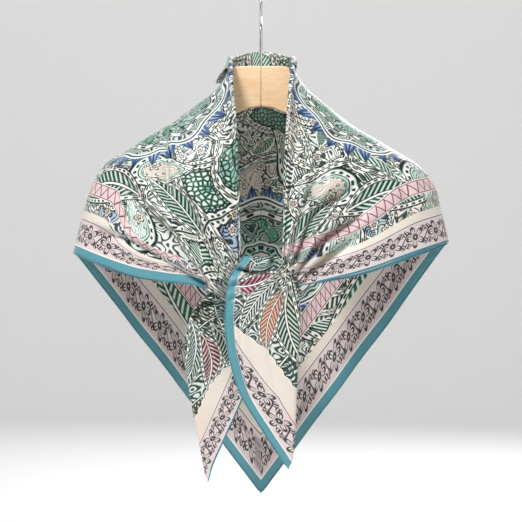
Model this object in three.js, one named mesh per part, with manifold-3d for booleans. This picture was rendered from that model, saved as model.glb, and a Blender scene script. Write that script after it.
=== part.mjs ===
// A silk square scarf, folded corner to corner, laid round the shoulders and tied in front, on a wooden
// hanger. Millimetres. +Z is up, -Y is the front, and the origin is where the hook rests on its rail.
import * as THREE from 'three';
import Module from 'manifold-3d';
import { mergeVertices } from 'three/addons/utils/BufferGeometryUtils.js';

const wasm = await Module();
wasm.setup();

// Driving dimensions. "Up" is measured from the top of the knot, and "across" from the middle of the
// neck.
const HOOK_REST_UP = 322; // from the top of the knot to the inside top of the hook
const WALL = 1.6; // the two layers of the folded silk, lying together
const HEM_ROLL = 2.6; // thickness of the two rolled hems at the edge
const HEM_SHARE = 0.014; // share of the cloth, from neck edge to hem, that the rolled hem takes
const SEAM = 0.3; // space left between neighbouring pieces
const KNOT_OUT = 84; // how far the gathered cloth stands in front of the hanger
const SHOULDER_SEAM = 0.0006; // share of the way round that keeps the seam's gap at the shoulder
const NECK_STEEPNESS = 1.2; // how soon the neck edges turn upright above the knot
const FOLD_HOLDS = 0.45; // share of a fold's reach over which it keeps its full height
const ROUNDNESS = 0.85; // below 1 the drape is boxier than an ellipse, seen from above
const DRAPE_MARGIN = 0.005; // how near the ends of a surface its slope is still measured

// The shoulder outline, from the neck ridge to the arm: how far out it is on each side.
const SHOULDER = [
  { up: 243, left: 36, right: 36.5 },
  { up: 224, left: 41, right: 42 },
  { up: 207, left: 51, right: 54 },
  { up: 186, left: 78, right: 79 },
  { up: 166, left: 106, right: 104 },
  { up: 137, left: 153, right: 152 },
  { up: 112, left: 190, right: 191 },
  { up: 89, left: 203, right: 208 },
  { up: 52, left: 214, right: 217.5 },
  { up: 24, left: 221, right: 224 },
];

// The middle of the back, from the neck ridge down to the back point.
const BACK = [
  { out: 46, up: 254 },
  { out: 45, up: 228 },
  { out: 55, up: 194 },
  { out: 69, up: 145 },
  { out: 76, up: 90 },
  { out: 78, up: 0 },
  { out: 75, up: -140 },
  { out: 69, up: -285 },
];

// Where each front is gathered into the knot: the ends of its neck edge and of its hem.
const SIDES = {
  left: { sign: -1, edge: { across: 23.5, up: -8 }, hem: { across: 34, up: -50 } },
  right: { sign: 1, edge: { across: 25, up: 0 }, hem: { across: 34, up: -31 } },
};
const LEFT_ARM = new THREE.Vector3(-224, 0, 10); // the left hem hangs lower at the arm

// How far the front hems rise off a straight line, at even steps from the knot to the arm.
const HEM_BENDS = {
  left: [0, 9, 3, -2.5, -2.5, 0],
  right: [0, -3, -4, -1, 0],
};

// Folds that run out of the knot: at, a share of the way from the neck edge to the hem; height; width, a
// share too; reach, how far towards the shoulder they last.
const FRONT_FOLDS = {
  left: [
    { at: 0.05, height: 3.6, width: 0.045, reach: 0.55 },
    { at: 0.19, height: 3.2, width: 0.05, reach: 0.6 },
    { at: 0.36, height: 4.2, width: 0.06, reach: 0.85 },
    { at: 0.54, height: 4.6, width: 0.05, reach: 1.0 },
    { at: 0.71, height: 3.4, width: 0.05, reach: 0.7 },
    { at: 0.86, height: 3.8, width: 0.045, reach: 0.75 },
  ],
  right: [
    { at: 0.06, height: 4.0, width: 0.045, reach: 0.7 },
    { at: 0.22, height: 4.6, width: 0.05, reach: 0.8 },
    { at: 0.39, height: 5.0, width: 0.05, reach: 0.9 },
    { at: 0.55, height: 4.4, width: 0.045, reach: 0.95 },
    { at: 0.7, height: 3.8, width: 0.045, reach: 0.8 },
    { at: 0.87, height: 3.0, width: 0.05, reach: 0.7 },
  ],
};

// Soft flutes down the back: across, where they hang at the hem; depth; width.
const BACK_FLUTES = [
  { across: -150, depth: 5, width: 20 },
  { across: -88, depth: 6.5, width: 18 },
  { across: -30, depth: 5, width: 16 },
  { across: 34, depth: 6, width: 17 },
  { across: 92, depth: 5.5, width: 19 },
  { across: 152, depth: 5, width: 20 },
];
const FLUTES_START_UP = 130;
const FLUTES_FULL_UP = -60;
const FLUTES_BEHIND = { from: 1.1, full: 1.5 }; // they fade out towards the shoulders

// The turned-down collar: how deep it falls, and how far it stands off at its edge.
const COLLAR = { fall: 36, flare: 5, from: 0.8, full: 1.15, tip: 7 };
const NECK_TO_HEM = { shoulder: 312, back: 560 }; // lengths of the cloth below the neck edge

// The tail that hangs in front, from behind the knot, over its top and down to its point. Left and right
// are the places of its edges, bend is the radius that it turns back on, and back is how far it returns.
const FRONT_TAIL = [
  { up: -11, out: 72.0, left: -14, right: 8, bend: 1.4, back: 2 },
  { up: -3, out: 71.5, left: -17, right: 11, bend: 1.4, back: 2 },
  { up: 4.0, out: 77, left: -19, right: 14, bend: 1.4, back: 2 },
  { up: 4.8, out: 87, left: -20, right: 17, bend: 1.6, back: 2 },
  { up: -2, out: 94.5, left: -24, right: 31, bend: 1.8, back: 3 },
  { up: -18, out: 97.5, left: -35, right: 41, bend: 2.4, back: 5 },
  { up: -40, out: 98, left: -39.5, right: 44, bend: 3.4, back: 10 },
  { up: -72, out: 98.5, left: -41, right: 45, bend: 4.4, back: 24 },
  { up: -108, out: 97.5, left: -37, right: 43, bend: 4.6, back: 34 },
  { up: -154, out: 95, left: -23, right: 41, bend: 4.2, back: 26 },
  { up: -200, out: 92, left: 5, right: 39, bend: 3.2, back: 12 },
  { up: -226, out: 90.5, left: 22, right: 36.5, bend: 2.0, back: 5 },
  { up: -240, out: 90, left: 29.5, right: 34.5, bend: 1.2, back: 1 },
];

// The tail that hangs behind it, from inside the knot down to its point. Its fold is on the left, its hem
// on the right.
const REAR_TAIL = [
  { up: -16, out: 73.0, left: -30, right: -4, bend: 1.6, back: 4 },
  { up: -30, out: 73.5, left: -50, right: -5, bend: 2.2, back: 8 },
  { up: -44, out: 75, left: -67, right: -5, bend: 3.0, back: 12 },
  { up: -58, out: 79, left: -79, right: -3, bend: 4.0, back: 18 },
  { up: -84, out: 82, left: -87, right: 0, bend: 4.8, back: 26 },
  { up: -106, out: 82, left: -88.5, right: -2, bend: 5.0, back: 32 },
  { up: -130, out: 81, left: -87, right: -9, bend: 4.8, back: 32 },
  { up: -162, out: 79.5, left: -81.5, right: -23, bend: 4.2, back: 24 },
  { up: -200, out: 78, left: -74, right: -40, bend: 3.2, back: 12 },
  { up: -238, out: 77, left: -66.5, right: -57, bend: 1.8, back: 4 },
  { up: -256, out: 76.5, left: -64, right: -60, bend: 1.2, back: 1 },
];

// Pleats down the tails: where they leave the knot and where they end, as shares of the width; height;
// width; reach, a share of the tail's length.
const FRONT_TAIL_PLEATS = [
  { from: 0.14, to: 0.18, height: 1.6, width: 0.05, reach: 0.7 },
  { from: 0.4, to: 0.5, height: 2.4, width: 0.05, reach: 0.75 },
  { from: 0.54, to: 0.64, height: 2.6, width: 0.045, reach: 0.7 },
];
const REAR_TAIL_PLEATS = [
  { from: 0.2, to: 0.25, height: 2.4, width: 0.06, reach: 0.8 },
  { from: 0.45, to: 0.5, height: 2.8, width: 0.06, reach: 0.8 },
];

// The knot's hidden middle, where the two ends cross: its centre and half sizes.
const KNOT_CORE = { across: 0, out: 84.2, up: -16.8, halfWidth: 17.5, halfDepth: 9.6, halfHeight: 20.4 };

// The hanger: its outline by distance from the middle. Top and foot are heights, thick is front to back,
// and edge is the rounding of its long edges.
const HANGER = [
  { across: 0, top: 233.5, foot: 185.5, thick: 15, edge: 2 },
  { across: 14, top: 233.5, foot: 183.5, thick: 15, edge: 2 },
  { across: 28, top: 233, foot: 178, thick: 16, edge: 2 },
  { across: 33, top: 231.5, foot: 175, thick: 16, edge: 2 },
  { across: 42, top: 214.4, foot: 169, thick: 17, edge: 3 },
  { across: 52, top: 202.9, foot: 162, thick: 18, edge: 4 },
  { across: 79, top: 182.2, foot: 146, thick: 21, edge: 5 },
  { across: 105, top: 162.6, foot: 130, thick: 22, edge: 6 },
  { across: 152, top: 134.4, foot: 105, thick: 24, edge: 7 },
  { across: 176, top: 119.4, foot: 91, thick: 25, edge: 7 },
  { across: 184, top: 109, foot: 92, thick: 17, edge: 7 },
];
// The hook: radii of the wire, its bow and the stem's bore, the depth it is sunk, where it leaves the
// straight, and how far past level its tip comes round.
const HOOK = { wire: 1.8, bend: 20, stemBore: 2.1, sunk: 24, curl: 27, tipAngle: 35 };
const HOOK_STEPS = { stem: 2, curl: 8, bow: 18, along: 34 };
const WIRE_SIDES = 12;

// Shares of a tail's width: its face, the fold at its side, and what is left lies behind.
const TAIL_FACE = 0.7;
const TAIL_FOLD = 0.18;
const TAIL_POINT = 1; // thickness of the cloth at a tail's point

// How finely each piece is divided: across, from neck edge to hem, and along.
const MESH = {
  front: { across: 28, along: 14 },
  back: { across: 20, along: 24 },
  collar: { across: 3, along: 36 },
  tail: { face: 10, fold: 4, along: 20 },
  core: { around: 16, up: 10 },
};

// Small helpers.
const mix = (a, b, share) => a + (b - a) * share;
const between = (low, high, value) => Math.min(high, Math.max(low, value));
const clamp01 = (value) => between(0, 1, value);
const ease = (from, to, value) => {
  const share = clamp01((value - from) / (to - from));
  return share * share * (3 - 2 * share);
};
const hump = (distance, width) => Math.exp(-((distance / width) ** 2));
const smooth = (points) => new THREE.CatmullRomCurve3(points, false, 'centripetal');

// The curves that carry the drape.
const shoulderCurves = {};
const gatherEnds = {};
const hemBends = {};
for (const [name, side] of Object.entries(SIDES)) {
  const outline = SHOULDER.map((row) => new THREE.Vector3(side.sign * row[name], 0, row.up));
  shoulderCurves[name] = smooth(name === 'left' ? [...outline, LEFT_ARM] : outline);
  gatherEnds[name] = [side.edge, side.hem].map(
    (end) => new THREE.Vector3(side.sign * end.across, -KNOT_OUT, end.up),
  );
  hemBends[name] = new THREE.SplineCurve(HEM_BENDS[name].map((rise, i) => new THREE.Vector2(i, rise)));
}
const backCurve = smooth(BACK.map((row) => new THREE.Vector3(0, row.out, row.up)));

// A point of the smooth drape. Share runs from the neck edge to the hem. Round runs from 0 at the knot,
// through 1 over the shoulder, to 2 at the middle of the back.
function drape(name, share, round) {
  const top = shoulderCurves[name].getPointAt(clamp01(share));
  if (round <= 1) {
    const knot = gatherEnds[name][0].clone().lerp(gatherEnds[name][1], share);
    const turn = (Math.max(round, 0) * Math.PI) / 2;
    const outward = Math.sin(turn) ** ROUNDNESS;
    const forward = Math.abs(Math.cos(turn)) ** ROUNDNESS;
    const steep = outward ** (1 + NECK_STEEPNESS * (1 - share) ** 6);
    const bend = hemBends[name].getPoint(clamp01(outward)).y * share ** 3;
    const up = mix(knot.z, top.z, outward) + bend;
    return new THREE.Vector3(mix(knot.x, top.x, steep), -KNOT_OUT * forward, up);
  }
  const middle = backCurve.getPointAt(clamp01(share));
  const turn = (Math.min(round - 1, 1) * Math.PI) / 2;
  const outward = Math.abs(Math.cos(turn)) ** ROUNDNESS;
  const drop = mix(1 - outward * outward, 1 - outward, share * share);
  const backward = Math.sin(turn) ** ROUNDNESS;
  return new THREE.Vector3(top.x * outward, middle.y * backward, mix(top.z, middle.z, drop));
}

// How far the folds and flutes lift the cloth off the smooth drape.
function foldLift(name, share, round) {
  if (round <= 1) {
    let lift = 0;
    for (const fold of FRONT_FOLDS[name]) {
      const fade = 1 - ease(fold.reach * FOLD_HOLDS, fold.reach, round);
      lift += fold.height * hump(share - fold.at, fold.width) * fade;
    }
    return lift;
  }
  const point = drape(name, share, round);
  const flow = 1 - ease(FLUTES_FULL_UP, FLUTES_START_UP, point.z);
  const behind = ease(FLUTES_BEHIND.from, FLUTES_BEHIND.full, round);
  let lift = 0;
  for (const flute of BACK_FLUTES) {
    lift += flute.depth * hump(point.x - flute.across, flute.width);
  }
  return lift * flow * behind;
}

// The unit normal of a surface, pointing to the side that the two directions turn to.
function normalOf(surface, a, b) {
  const step = 0.8 * DRAPE_MARGIN;
  const alongA = surface(a + step, b).sub(surface(a - step, b));
  const alongB = surface(a, b + step).sub(surface(a, b - step));
  return alongA.cross(alongB).normalize();
}

// The cloth's middle surface for one half, with its folds. Outside is away from the body.
function cloth(name) {
  const smoothSide = (share, round) => drape(name, share, round);
  const outside = SIDES[name].sign;
  return (share, round) => {
    const a = between(DRAPE_MARGIN, 1 - DRAPE_MARGIN, share);
    const b = between(2 * DRAPE_MARGIN, 2 - 2 * DRAPE_MARGIN, round);
    const normal = normalOf(smoothSide, a, b).multiplyScalar(outside);
    return smoothSide(share, round).addScaledVector(normal, foldLift(name, share, round));
  };
}

// A closed wall round a middle surface. The places are lists of values for the two directions.
function wall(surface, placesA, placesB, thickness) {
  const rows = placesA.length;
  const columns = placesB.length;
  const positions = [[], []];
  const rangeA = [placesA[0] + DRAPE_MARGIN, placesA[rows - 1] - DRAPE_MARGIN];
  const rangeB = [placesB[0] + DRAPE_MARGIN, placesB[columns - 1] - DRAPE_MARGIN];
  for (const a of placesA) {
    for (const b of placesB) {
      const point = surface(a, b);
      const normal = normalOf(surface, between(...rangeA, a), between(...rangeB, b));
      const half = thickness(a, b) / 2;
      positions[0].push(point.clone().addScaledVector(normal, half));
      positions[1].push(point.clone().addScaledVector(normal, -half));
    }
  }
  const index = [];
  const at = (side, row, column) => side * rows * columns + row * columns + column;
  const quad = (p, q, r, s) => index.push(p, q, r, p, r, s);
  for (let row = 0; row < rows - 1; row++) {
    for (let column = 0; column < columns - 1; column++) {
      quad(at(0, row, column), at(0, row + 1, column), at(0, row + 1, column + 1), at(0, row, column + 1));
      quad(at(1, row, column), at(1, row, column + 1), at(1, row + 1, column + 1), at(1, row + 1, column));
    }
    quad(at(0, row, 0), at(1, row, 0), at(1, row + 1, 0), at(0, row + 1, 0));
    const last = columns - 1;
    quad(at(0, row + 1, last), at(1, row + 1, last), at(1, row, last), at(0, row, last));
  }
  for (let column = 0; column < columns - 1; column++) {
    quad(at(0, 0, column + 1), at(1, 0, column + 1), at(1, 0, column), at(0, 0, column));
    const last = rows - 1;
    quad(at(0, last, column), at(1, last, column), at(1, last, column + 1), at(0, last, column + 1));
  }
  return solid([...positions[0], ...positions[1]], index);
}

// Points and triangles as a geometry whose faces point out.
function solid(points, index) {
  let volume = 0;
  for (let i = 0; i < index.length; i += 3) {
    const [a, b, c] = [points[index[i]], points[index[i + 1]], points[index[i + 2]]];
    volume += a.dot(b.clone().cross(c));
  }
  if (volume < 0) {
    for (let i = 0; i < index.length; i += 3) {
      [index[i], index[i + 1]] = [index[i + 1], index[i]];
    }
  }
  const places = points.flatMap((point) => point.toArray());
  const geometry = new THREE.BufferGeometry();
  geometry.setAttribute('position', new THREE.Float32BufferAttribute(places, 3));
  geometry.setIndex(index);
  return geometry;
}

const evenly = (from, to, steps) => Array.from({ length: steps + 1 }, (_, i) => mix(from, to, i / steps));

// Evenly spaced places that end in the narrow strip of a rolled hem.
function toHem(steps) {
  return [...evenly(0, 1 - HEM_SHARE, steps), 1 - HEM_SHARE * 0.4, 1];
}

const clothThickness = (share) => mix(WALL, HEM_ROLL, ease(1 - HEM_SHARE, 1 - HEM_SHARE * 0.6, share));

// The front on one side, from the knot to the top of the shoulder.
function frontPanel(name) {
  const places = evenly(0, 1 - SHOULDER_SEAM, MESH.front.along);
  return wall(cloth(name), toHem(MESH.front.across), places, clothThickness);
}

// The back, from one shoulder to the other. Its second direction runs from -1 to 1.
function backPanel() {
  const sides = { left: cloth('left'), right: cloth('right') };
  const surface = (share, sweep) => {
    const side = sweep < 0 ? 'left' : 'right';
    return sides[side](share, 2 - Math.min(Math.abs(sweep), 1));
  };
  const places = evenly(-1 + SHOULDER_SEAM, 1 - SHOULDER_SEAM, MESH.back.along);
  return wall(surface, toHem(MESH.back.across), places, clothThickness);
}

// The collar, turned down over the outside of the neck and tapering to the front.
function collarFall() {
  const sides = { left: cloth('left'), right: cloth('right') };
  const standOff = WALL + 1.7 * SEAM; // clears the facets of the curve too
  const surface = (down, sweep) => {
    const name = sweep < 0 ? 'left' : 'right';
    const round = 2 - Math.abs(sweep);
    const length = mix(NECK_TO_HEM.shoulder, NECK_TO_HEM.back, ease(1, 2, round));
    const fall = mix(COLLAR.tip, COLLAR.fall, ease(COLLAR.from, COLLAR.full, round));
    const share = (fall / length) * Math.max(down, 0);
    const side = sides[name];
    const slopeAt = [share + DRAPE_MARGIN, Math.min(round, 2 - 2 * DRAPE_MARGIN)];
    const normal = normalOf(side, ...slopeAt).multiplyScalar(SIDES[name].sign);
    return side(share, round).addScaledVector(normal, standOff + COLLAR.flare * Math.max(down, 0) ** 2);
  };
  const reach = 2 - COLLAR.from;
  const places = evenly(-reach, reach, MESH.collar.along);
  return wall(surface, evenly(0, 1, MESH.collar.across), places, () => WALL);
}

// A tail's surface. Across runs from its hem, over its front, round its fold and back behind. Side is 1
// with the hem on the left and -1 with it on the right.
function tailSurface(rows, pleats, side) {
  const columns = Object.keys(rows[0]);
  const curve = (key) => new THREE.SplineCurve(rows.map((row, i) => new THREE.Vector2(i, row[key])));
  const curves = Object.fromEntries(columns.map((key) => [key, curve(key)]));
  return (across, along) => {
    const at = clamp01(along);
    const row = Object.fromEntries(columns.map((key) => [key, curves[key].getPoint(at).y]));
    const bend = Math.max(row.bend, 1.1);
    const hemEdge = side > 0 ? row.left : row.right;
    const foldEdge = (side > 0 ? row.right : row.left) - side * bend;
    const turn = Math.PI * clamp01((across - TAIL_FACE) / TAIL_FOLD);
    const behind = Math.max(across - TAIL_FACE - TAIL_FOLD, 0) / (1 - TAIL_FACE - TAIL_FOLD);
    const face = mix(hemEdge, foldEdge, Math.min(across / TAIL_FACE, 1));
    const x = face + side * (bend * Math.sin(turn) - row.back * behind);
    const y = row.out - bend * (1 - Math.cos(turn));
    let lift = 0;
    for (const pleat of pleats) {
      const place = mix(pleat.from, pleat.to, at);
      const fade = 1 - ease(pleat.reach * FOLD_HOLDS, pleat.reach, at);
      lift += pleat.height * hump(across - place, pleat.width) * fade;
    }
    return new THREE.Vector3(x, -(y + lift * ease(0.05, 0.3, at)), row.up);
  };
}

function tail(rows, pleats, side) {
  const { face, fold } = MESH.tail;
  const folded = evenly(TAIL_FACE, TAIL_FACE + TAIL_FOLD, fold);
  const places = [0, 0.025, ...evenly(0.07, TAIL_FACE, face).slice(0, -1), ...folded, 1];
  const thickness = (across, along) => {
    const hem = (HEM_ROLL - WALL) * (1 - ease(0, places[2], across));
    return mix(WALL, TAIL_POINT, ease(0.9, 1, along)) + hem;
  };
  return wall(tailSurface(rows, pleats, side), places, evenly(0, 1, MESH.tail.along), thickness);
}

// The knot's middle: a rounded lump, boxier than an ellipsoid.
function knotCore() {
  const { around, up } = MESH.core;
  const core = KNOT_CORE;
  const points = [new THREE.Vector3(core.across, -core.out, core.up + core.halfHeight)];
  const index = [];
  for (let ring = 1; ring < up; ring++) {
    const tilt = (Math.PI * ring) / up;
    for (let step = 0; step < around; step++) {
      const turn = (2 * Math.PI * step) / around;
      const boxy = (value) => Math.sign(value) * Math.abs(value) ** 0.8;
      const girth = Math.sin(tilt) ** 0.7;
      points.push(
        new THREE.Vector3(
          core.across + core.halfWidth * boxy(Math.cos(turn)) * girth,
          -core.out + core.halfDepth * boxy(Math.sin(turn)) * girth,
          core.up + core.halfHeight * Math.cos(tilt),
        ),
      );
    }
  }
  points.push(new THREE.Vector3(core.across, -core.out, core.up - core.halfHeight));
  const at = (ring, step) => 1 + (ring - 1) * around + (step % around);
  for (let step = 0; step < around; step++) {
    index.push(0, at(1, step), at(1, step + 1));
    for (let ring = 1; ring < up - 1; ring++) {
      index.push(at(ring, step), at(ring + 1, step), at(ring + 1, step + 1));
      index.push(at(ring, step), at(ring + 1, step + 1), at(ring, step + 1));
    }
    index.push(at(up - 1, step), points.length - 1, at(up - 1, step + 1));
  }
  return solid(points, index);
}

// A geometry as a manifold, and back again.
function toManifold(geometry) {
  const bare = geometry.clone();
  bare.deleteAttribute('normal');
  bare.deleteAttribute('uv');
  const merged = mergeVertices(bare, 1e-4);
  const mesh = new wasm.Mesh({
    numProp: 3,
    vertProperties: new Float32Array(merged.attributes.position.array),
    triVerts: new Uint32Array(merged.index.array),
  });
  return new wasm.Manifold(mesh);
}

function fromManifold(body) {
  const mesh = body.getMesh();
  const geometry = new THREE.BufferGeometry();
  geometry.setAttribute('position', new THREE.BufferAttribute(new Float32Array(mesh.vertProperties), 3));
  geometry.setIndex(new THREE.BufferAttribute(new Uint32Array(mesh.triVerts), 1));
  return geometry;
}

// One half of the hanger: rounded oblong sections from the glue line out along the arm, with the stem's
// bore.
function hangerHalf(sign) {
  const points = [];
  const cornerTurns = [0, 30, 60, 90];
  const perSection = cornerTurns.length * 4;
  for (const [i, row] of HANGER.entries()) {
    const across = sign * (i === 0 ? SEAM / 2 : row.across);
    const halfThick = row.thick / 2 - row.edge;
    const halfHigh = (row.top - row.foot) / 2 - row.edge;
    const middle = (row.top + row.foot) / 2;
    for (let quarter = 0; quarter < 4; quarter++) {
      const outward = quarter === 0 || quarter === 3 ? 1 : -1;
      const upward = quarter < 2 ? 1 : -1;
      for (const cornerTurn of cornerTurns) {
        const turn = THREE.MathUtils.degToRad(quarter * 90 + cornerTurn);
        points.push(
          new THREE.Vector3(
            across,
            outward * halfThick + row.edge * Math.cos(turn),
            middle + upward * halfHigh + row.edge * Math.sin(turn),
          ),
        );
      }
    }
  }
  const index = [];
  for (let section = 0; section < HANGER.length - 1; section++) {
    for (let step = 0; step < perSection; step++) {
      const next = (step + 1) % perSection;
      const [a, b] = [section * perSection, (section + 1) * perSection];
      index.push(a + step, b + step, b + next, a + step, b + next, a + next);
    }
  }
  for (const [section, order] of [[0, 1], [HANGER.length - 1, -1]]) {
    const start = section * perSection;
    for (let step = 1; step < perSection - 1; step++) {
      index.push(start, start + (order > 0 ? step : step + 1), start + (order > 0 ? step + 1 : step));
    }
  }
  const arm = solid(points, index);
  const bore = new THREE.CylinderGeometry(HOOK.stemBore, HOOK.stemBore, 2 * HOOK.sunk, WIRE_SIDES);
  bore.rotateX(Math.PI / 2);
  bore.translate(0, 0, HANGER[0].top);
  return fromManifold(toManifold(arm).subtract(toManifold(bore)));
}

// The hook: a straight stem that curls out and bows over to its tip, all in the plane that faces
// sideways.
function hook() {
  const centreUp = HOOK_REST_UP - HOOK.bend + HOOK.wire;
  const foot = HANGER[0].top - HOOK.sunk + SEAM;
  const curlStart = centreUp - HOOK.curl;
  const points = [];
  for (let step = 0; step <= HOOK_STEPS.stem; step++) {
    points.push(new THREE.Vector3(0, 0, mix(foot, curlStart, step / HOOK_STEPS.stem)));
  }
  for (let step = 1; step < HOOK_STEPS.curl; step++) {
    const share = step / HOOK_STEPS.curl;
    points.push(new THREE.Vector3(0, HOOK.bend * ease(0, 1, share), mix(curlStart, centreUp, share)));
  }
  const sweep = 180 + HOOK.tipAngle;
  for (let step = 0; step <= HOOK_STEPS.bow; step++) {
    const turn = THREE.MathUtils.degToRad((sweep * step) / HOOK_STEPS.bow);
    points.push(new THREE.Vector3(0, HOOK.bend * Math.cos(turn), centreUp + HOOK.bend * Math.sin(turn)));
  }
  const path = smooth(points);
  const section = new THREE.Shape();
  section.absarc(0, 0, HOOK.wire, 0, 2 * Math.PI, false);
  return new THREE.ExtrudeGeometry(section, {
    steps: HOOK_STEPS.along,
    extrudePath: path,
    curveSegments: WIRE_SIDES / 2,
    bevelEnabled: false,
  });
}

// The finishes, and the pieces under their names.
const finish = (color, roughness, metalness) =>
  new THREE.MeshStandardMaterial({ color, roughness, metalness });
const silk = () => finish('#b9c9bf', 0.42, 0);
const wood = () => finish('#e2b98c', 0.5, 0);
const steel = () => finish('#c9cccf', 0.22, 1);

const pieces = [
  ['cape_front_left', frontPanel('left'), silk],
  ['cape_front_right', frontPanel('right'), silk],
  ['cape_back', backPanel(), silk],
  ['collar_fall', collarFall(), silk],
  ['knot_core', knotCore(), silk],
  ['tail_front', tail(FRONT_TAIL, FRONT_TAIL_PLEATS, 1), silk],
  ['tail_rear', tail(REAR_TAIL, REAR_TAIL_PLEATS, -1), silk],
  ['hanger_left', hangerHalf(-1), wood],
  ['hanger_right', hangerHalf(1), wood],
  ['hanger_hook', hook(), steel],
];

const scarf = new THREE.Group();
scarf.position.z = -HOOK_REST_UP;
for (const [name, geometry, material] of pieces) {
  const mesh = new THREE.Mesh(geometry, material());
  mesh.name = name;
  scarf.add(mesh);
}
scarf.updateMatrixWorld(true);

export default scarf;
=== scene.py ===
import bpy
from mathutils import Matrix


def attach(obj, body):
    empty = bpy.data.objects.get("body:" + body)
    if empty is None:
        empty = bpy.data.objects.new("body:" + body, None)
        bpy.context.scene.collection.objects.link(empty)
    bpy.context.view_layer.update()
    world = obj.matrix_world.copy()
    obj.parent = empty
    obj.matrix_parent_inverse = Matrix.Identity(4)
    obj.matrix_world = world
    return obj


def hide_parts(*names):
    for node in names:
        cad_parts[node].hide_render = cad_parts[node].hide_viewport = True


bl_info = {
    "name": "Silk Square on a Hanger",
    "version": (1, 0, 0),
    "blender": (4, 5, 0),
    "location": "View3D > Sidebar > Scarf",
    "description": "Printed silk square, folded corner to corner and tied in front, on a wooden hanger",
    "category": "Object",
}

import math

import bmesh
import bpy
import numpy as np
from bpy.props import FloatProperty, FloatVectorProperty, IntProperty, PointerProperty
from mathutils import Vector

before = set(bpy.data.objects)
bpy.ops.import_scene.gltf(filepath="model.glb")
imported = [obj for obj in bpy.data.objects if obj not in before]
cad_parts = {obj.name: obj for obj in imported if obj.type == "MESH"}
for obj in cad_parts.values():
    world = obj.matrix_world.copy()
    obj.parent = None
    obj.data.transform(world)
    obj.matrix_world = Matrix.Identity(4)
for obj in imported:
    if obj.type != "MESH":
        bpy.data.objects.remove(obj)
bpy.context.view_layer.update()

MM = 0.001

# The tables below repeat the frame's own, in millimetres. "Up" is measured from the top of the knot,
# which is this far below the mount.
HOOK_REST_UP = 322
KNOT_OUT = 84
NECK_STEEPNESS = 1.2
FOLD_HOLDS = 0.45
ROUNDNESS = 0.85
# The cloth's folds, creases and flutes are this much deeper than the frame's.
FOLD_GAIN = 1.4
CREASE_GAIN = 2.2
FLUTE_GAIN = 1.5

SHOULDER_UP = [243, 224, 207, 186, 166, 137, 112, 89, 52, 24]
SHOULDER_LEFT = [36, 41, 51, 78, 106, 153, 190, 203, 214, 221]
SHOULDER_RIGHT = [36.5, 42, 54, 79, 104, 152, 191, 208, 217.5, 224]
LEFT_ARM = (-224, 0, 10)

BACK_OUT = [46, 45, 55, 69, 76, 78, 75, 69]
BACK_UP = [254, 228, 194, 145, 90, 0, -140, -285]

GATHER = {
    "left": {"sign": -1, "edge": (23.5, -8), "hem": (34, -50)},
    "right": {"sign": 1, "edge": (25, 0), "hem": (34, -31)},
}
HEM_BENDS = {"left": [0, 9, 3, -2.5, -2.5, 0], "right": [0, -3, -4, -1, 0]}

# Folds that run out of the knot: place from neck edge to hem, height, width, reach.
FRONT_FOLDS = {
    "left": [
        (0.05, 3.6, 0.045, 0.55),
        (0.19, 3.2, 0.05, 0.6),
        (0.36, 4.2, 0.06, 0.85),
        (0.54, 4.6, 0.05, 1.0),
        (0.71, 3.4, 0.05, 0.7),
        (0.86, 3.8, 0.045, 0.75),
    ],
    "right": [
        (0.06, 4.0, 0.045, 0.7),
        (0.22, 4.6, 0.05, 0.8),
        (0.39, 5.0, 0.05, 0.9),
        (0.55, 4.4, 0.045, 0.95),
        (0.7, 3.8, 0.045, 0.8),
        (0.87, 3.0, 0.05, 0.7),
    ],
}

# Creases on the fronts, as lines of (across, up) seen from the front: depth, width, and how proud the
# ridge above each one stands.
CREASES = [
    {"line": [(-113, 150), (-111, 120), (-109, 84), (-108, 50)], "depth": 3.0, "width": 3.6, "ridge": 2.4},
    {"line": [(-178, 117), (-157, 95), (-130, 57), (-106, 34), (-76, -8), (-60, -28)], "depth": 4.6, "width": 3.6, "ridge": 3.4},
    {"line": [(-212, 48), (-188, 35), (-157, 26), (-130, 10.5), (-89, -11.7), (-66, -26)], "depth": 4.4, "width": 3.6, "ridge": 3.6},
    {"line": [(-60, 120), (-50, 70), (-42, 30), (-34, 2)], "depth": 2.0, "width": 4, "ridge": 1.6},
    {"line": [(-96, 90), (-74, 46), (-52, 6), (-40, -16)], "depth": 2.4, "width": 3.6, "ridge": 2.0},
    {"line": [(38.6, -1), (56, 47), (69, 65.5), (102, 84), (128, 96)], "depth": 6.0, "width": 3.8, "ridge": 3.6},
    {"line": [(42, -15), (70, 24.6), (102, 44.5), (128, 58)], "depth": 6.0, "width": 3.6, "ridge": 3.6},
    {"line": [(52, -19), (74, 3.5), (91, 17.5), (112, 30)], "depth": 5.0, "width": 3.4, "ridge": 3.0},
    {"line": [(36, 8), (44, 40), (54, 76), (66, 104)], "depth": 3.6, "width": 3.4, "ridge": 2.2},
    {"line": [(60, 150), (48, 100), (38, 50), (33, 20)], "depth": 1.8, "width": 4.5, "ridge": 1.2},
    {"line": [(150, 118), (168, 84), (178, 52)], "depth": 2.0, "width": 6, "ridge": 1.2},
]

# Soft flutes down the back: across at the hem, depth, width.
BACK_FLUTES = [
    (-150, 5, 20),
    (-88, 6.5, 18),
    (-30, 5, 16),
    (34, 6, 17),
    (92, 5.5, 19),
    (152, 5, 20),
]

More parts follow.
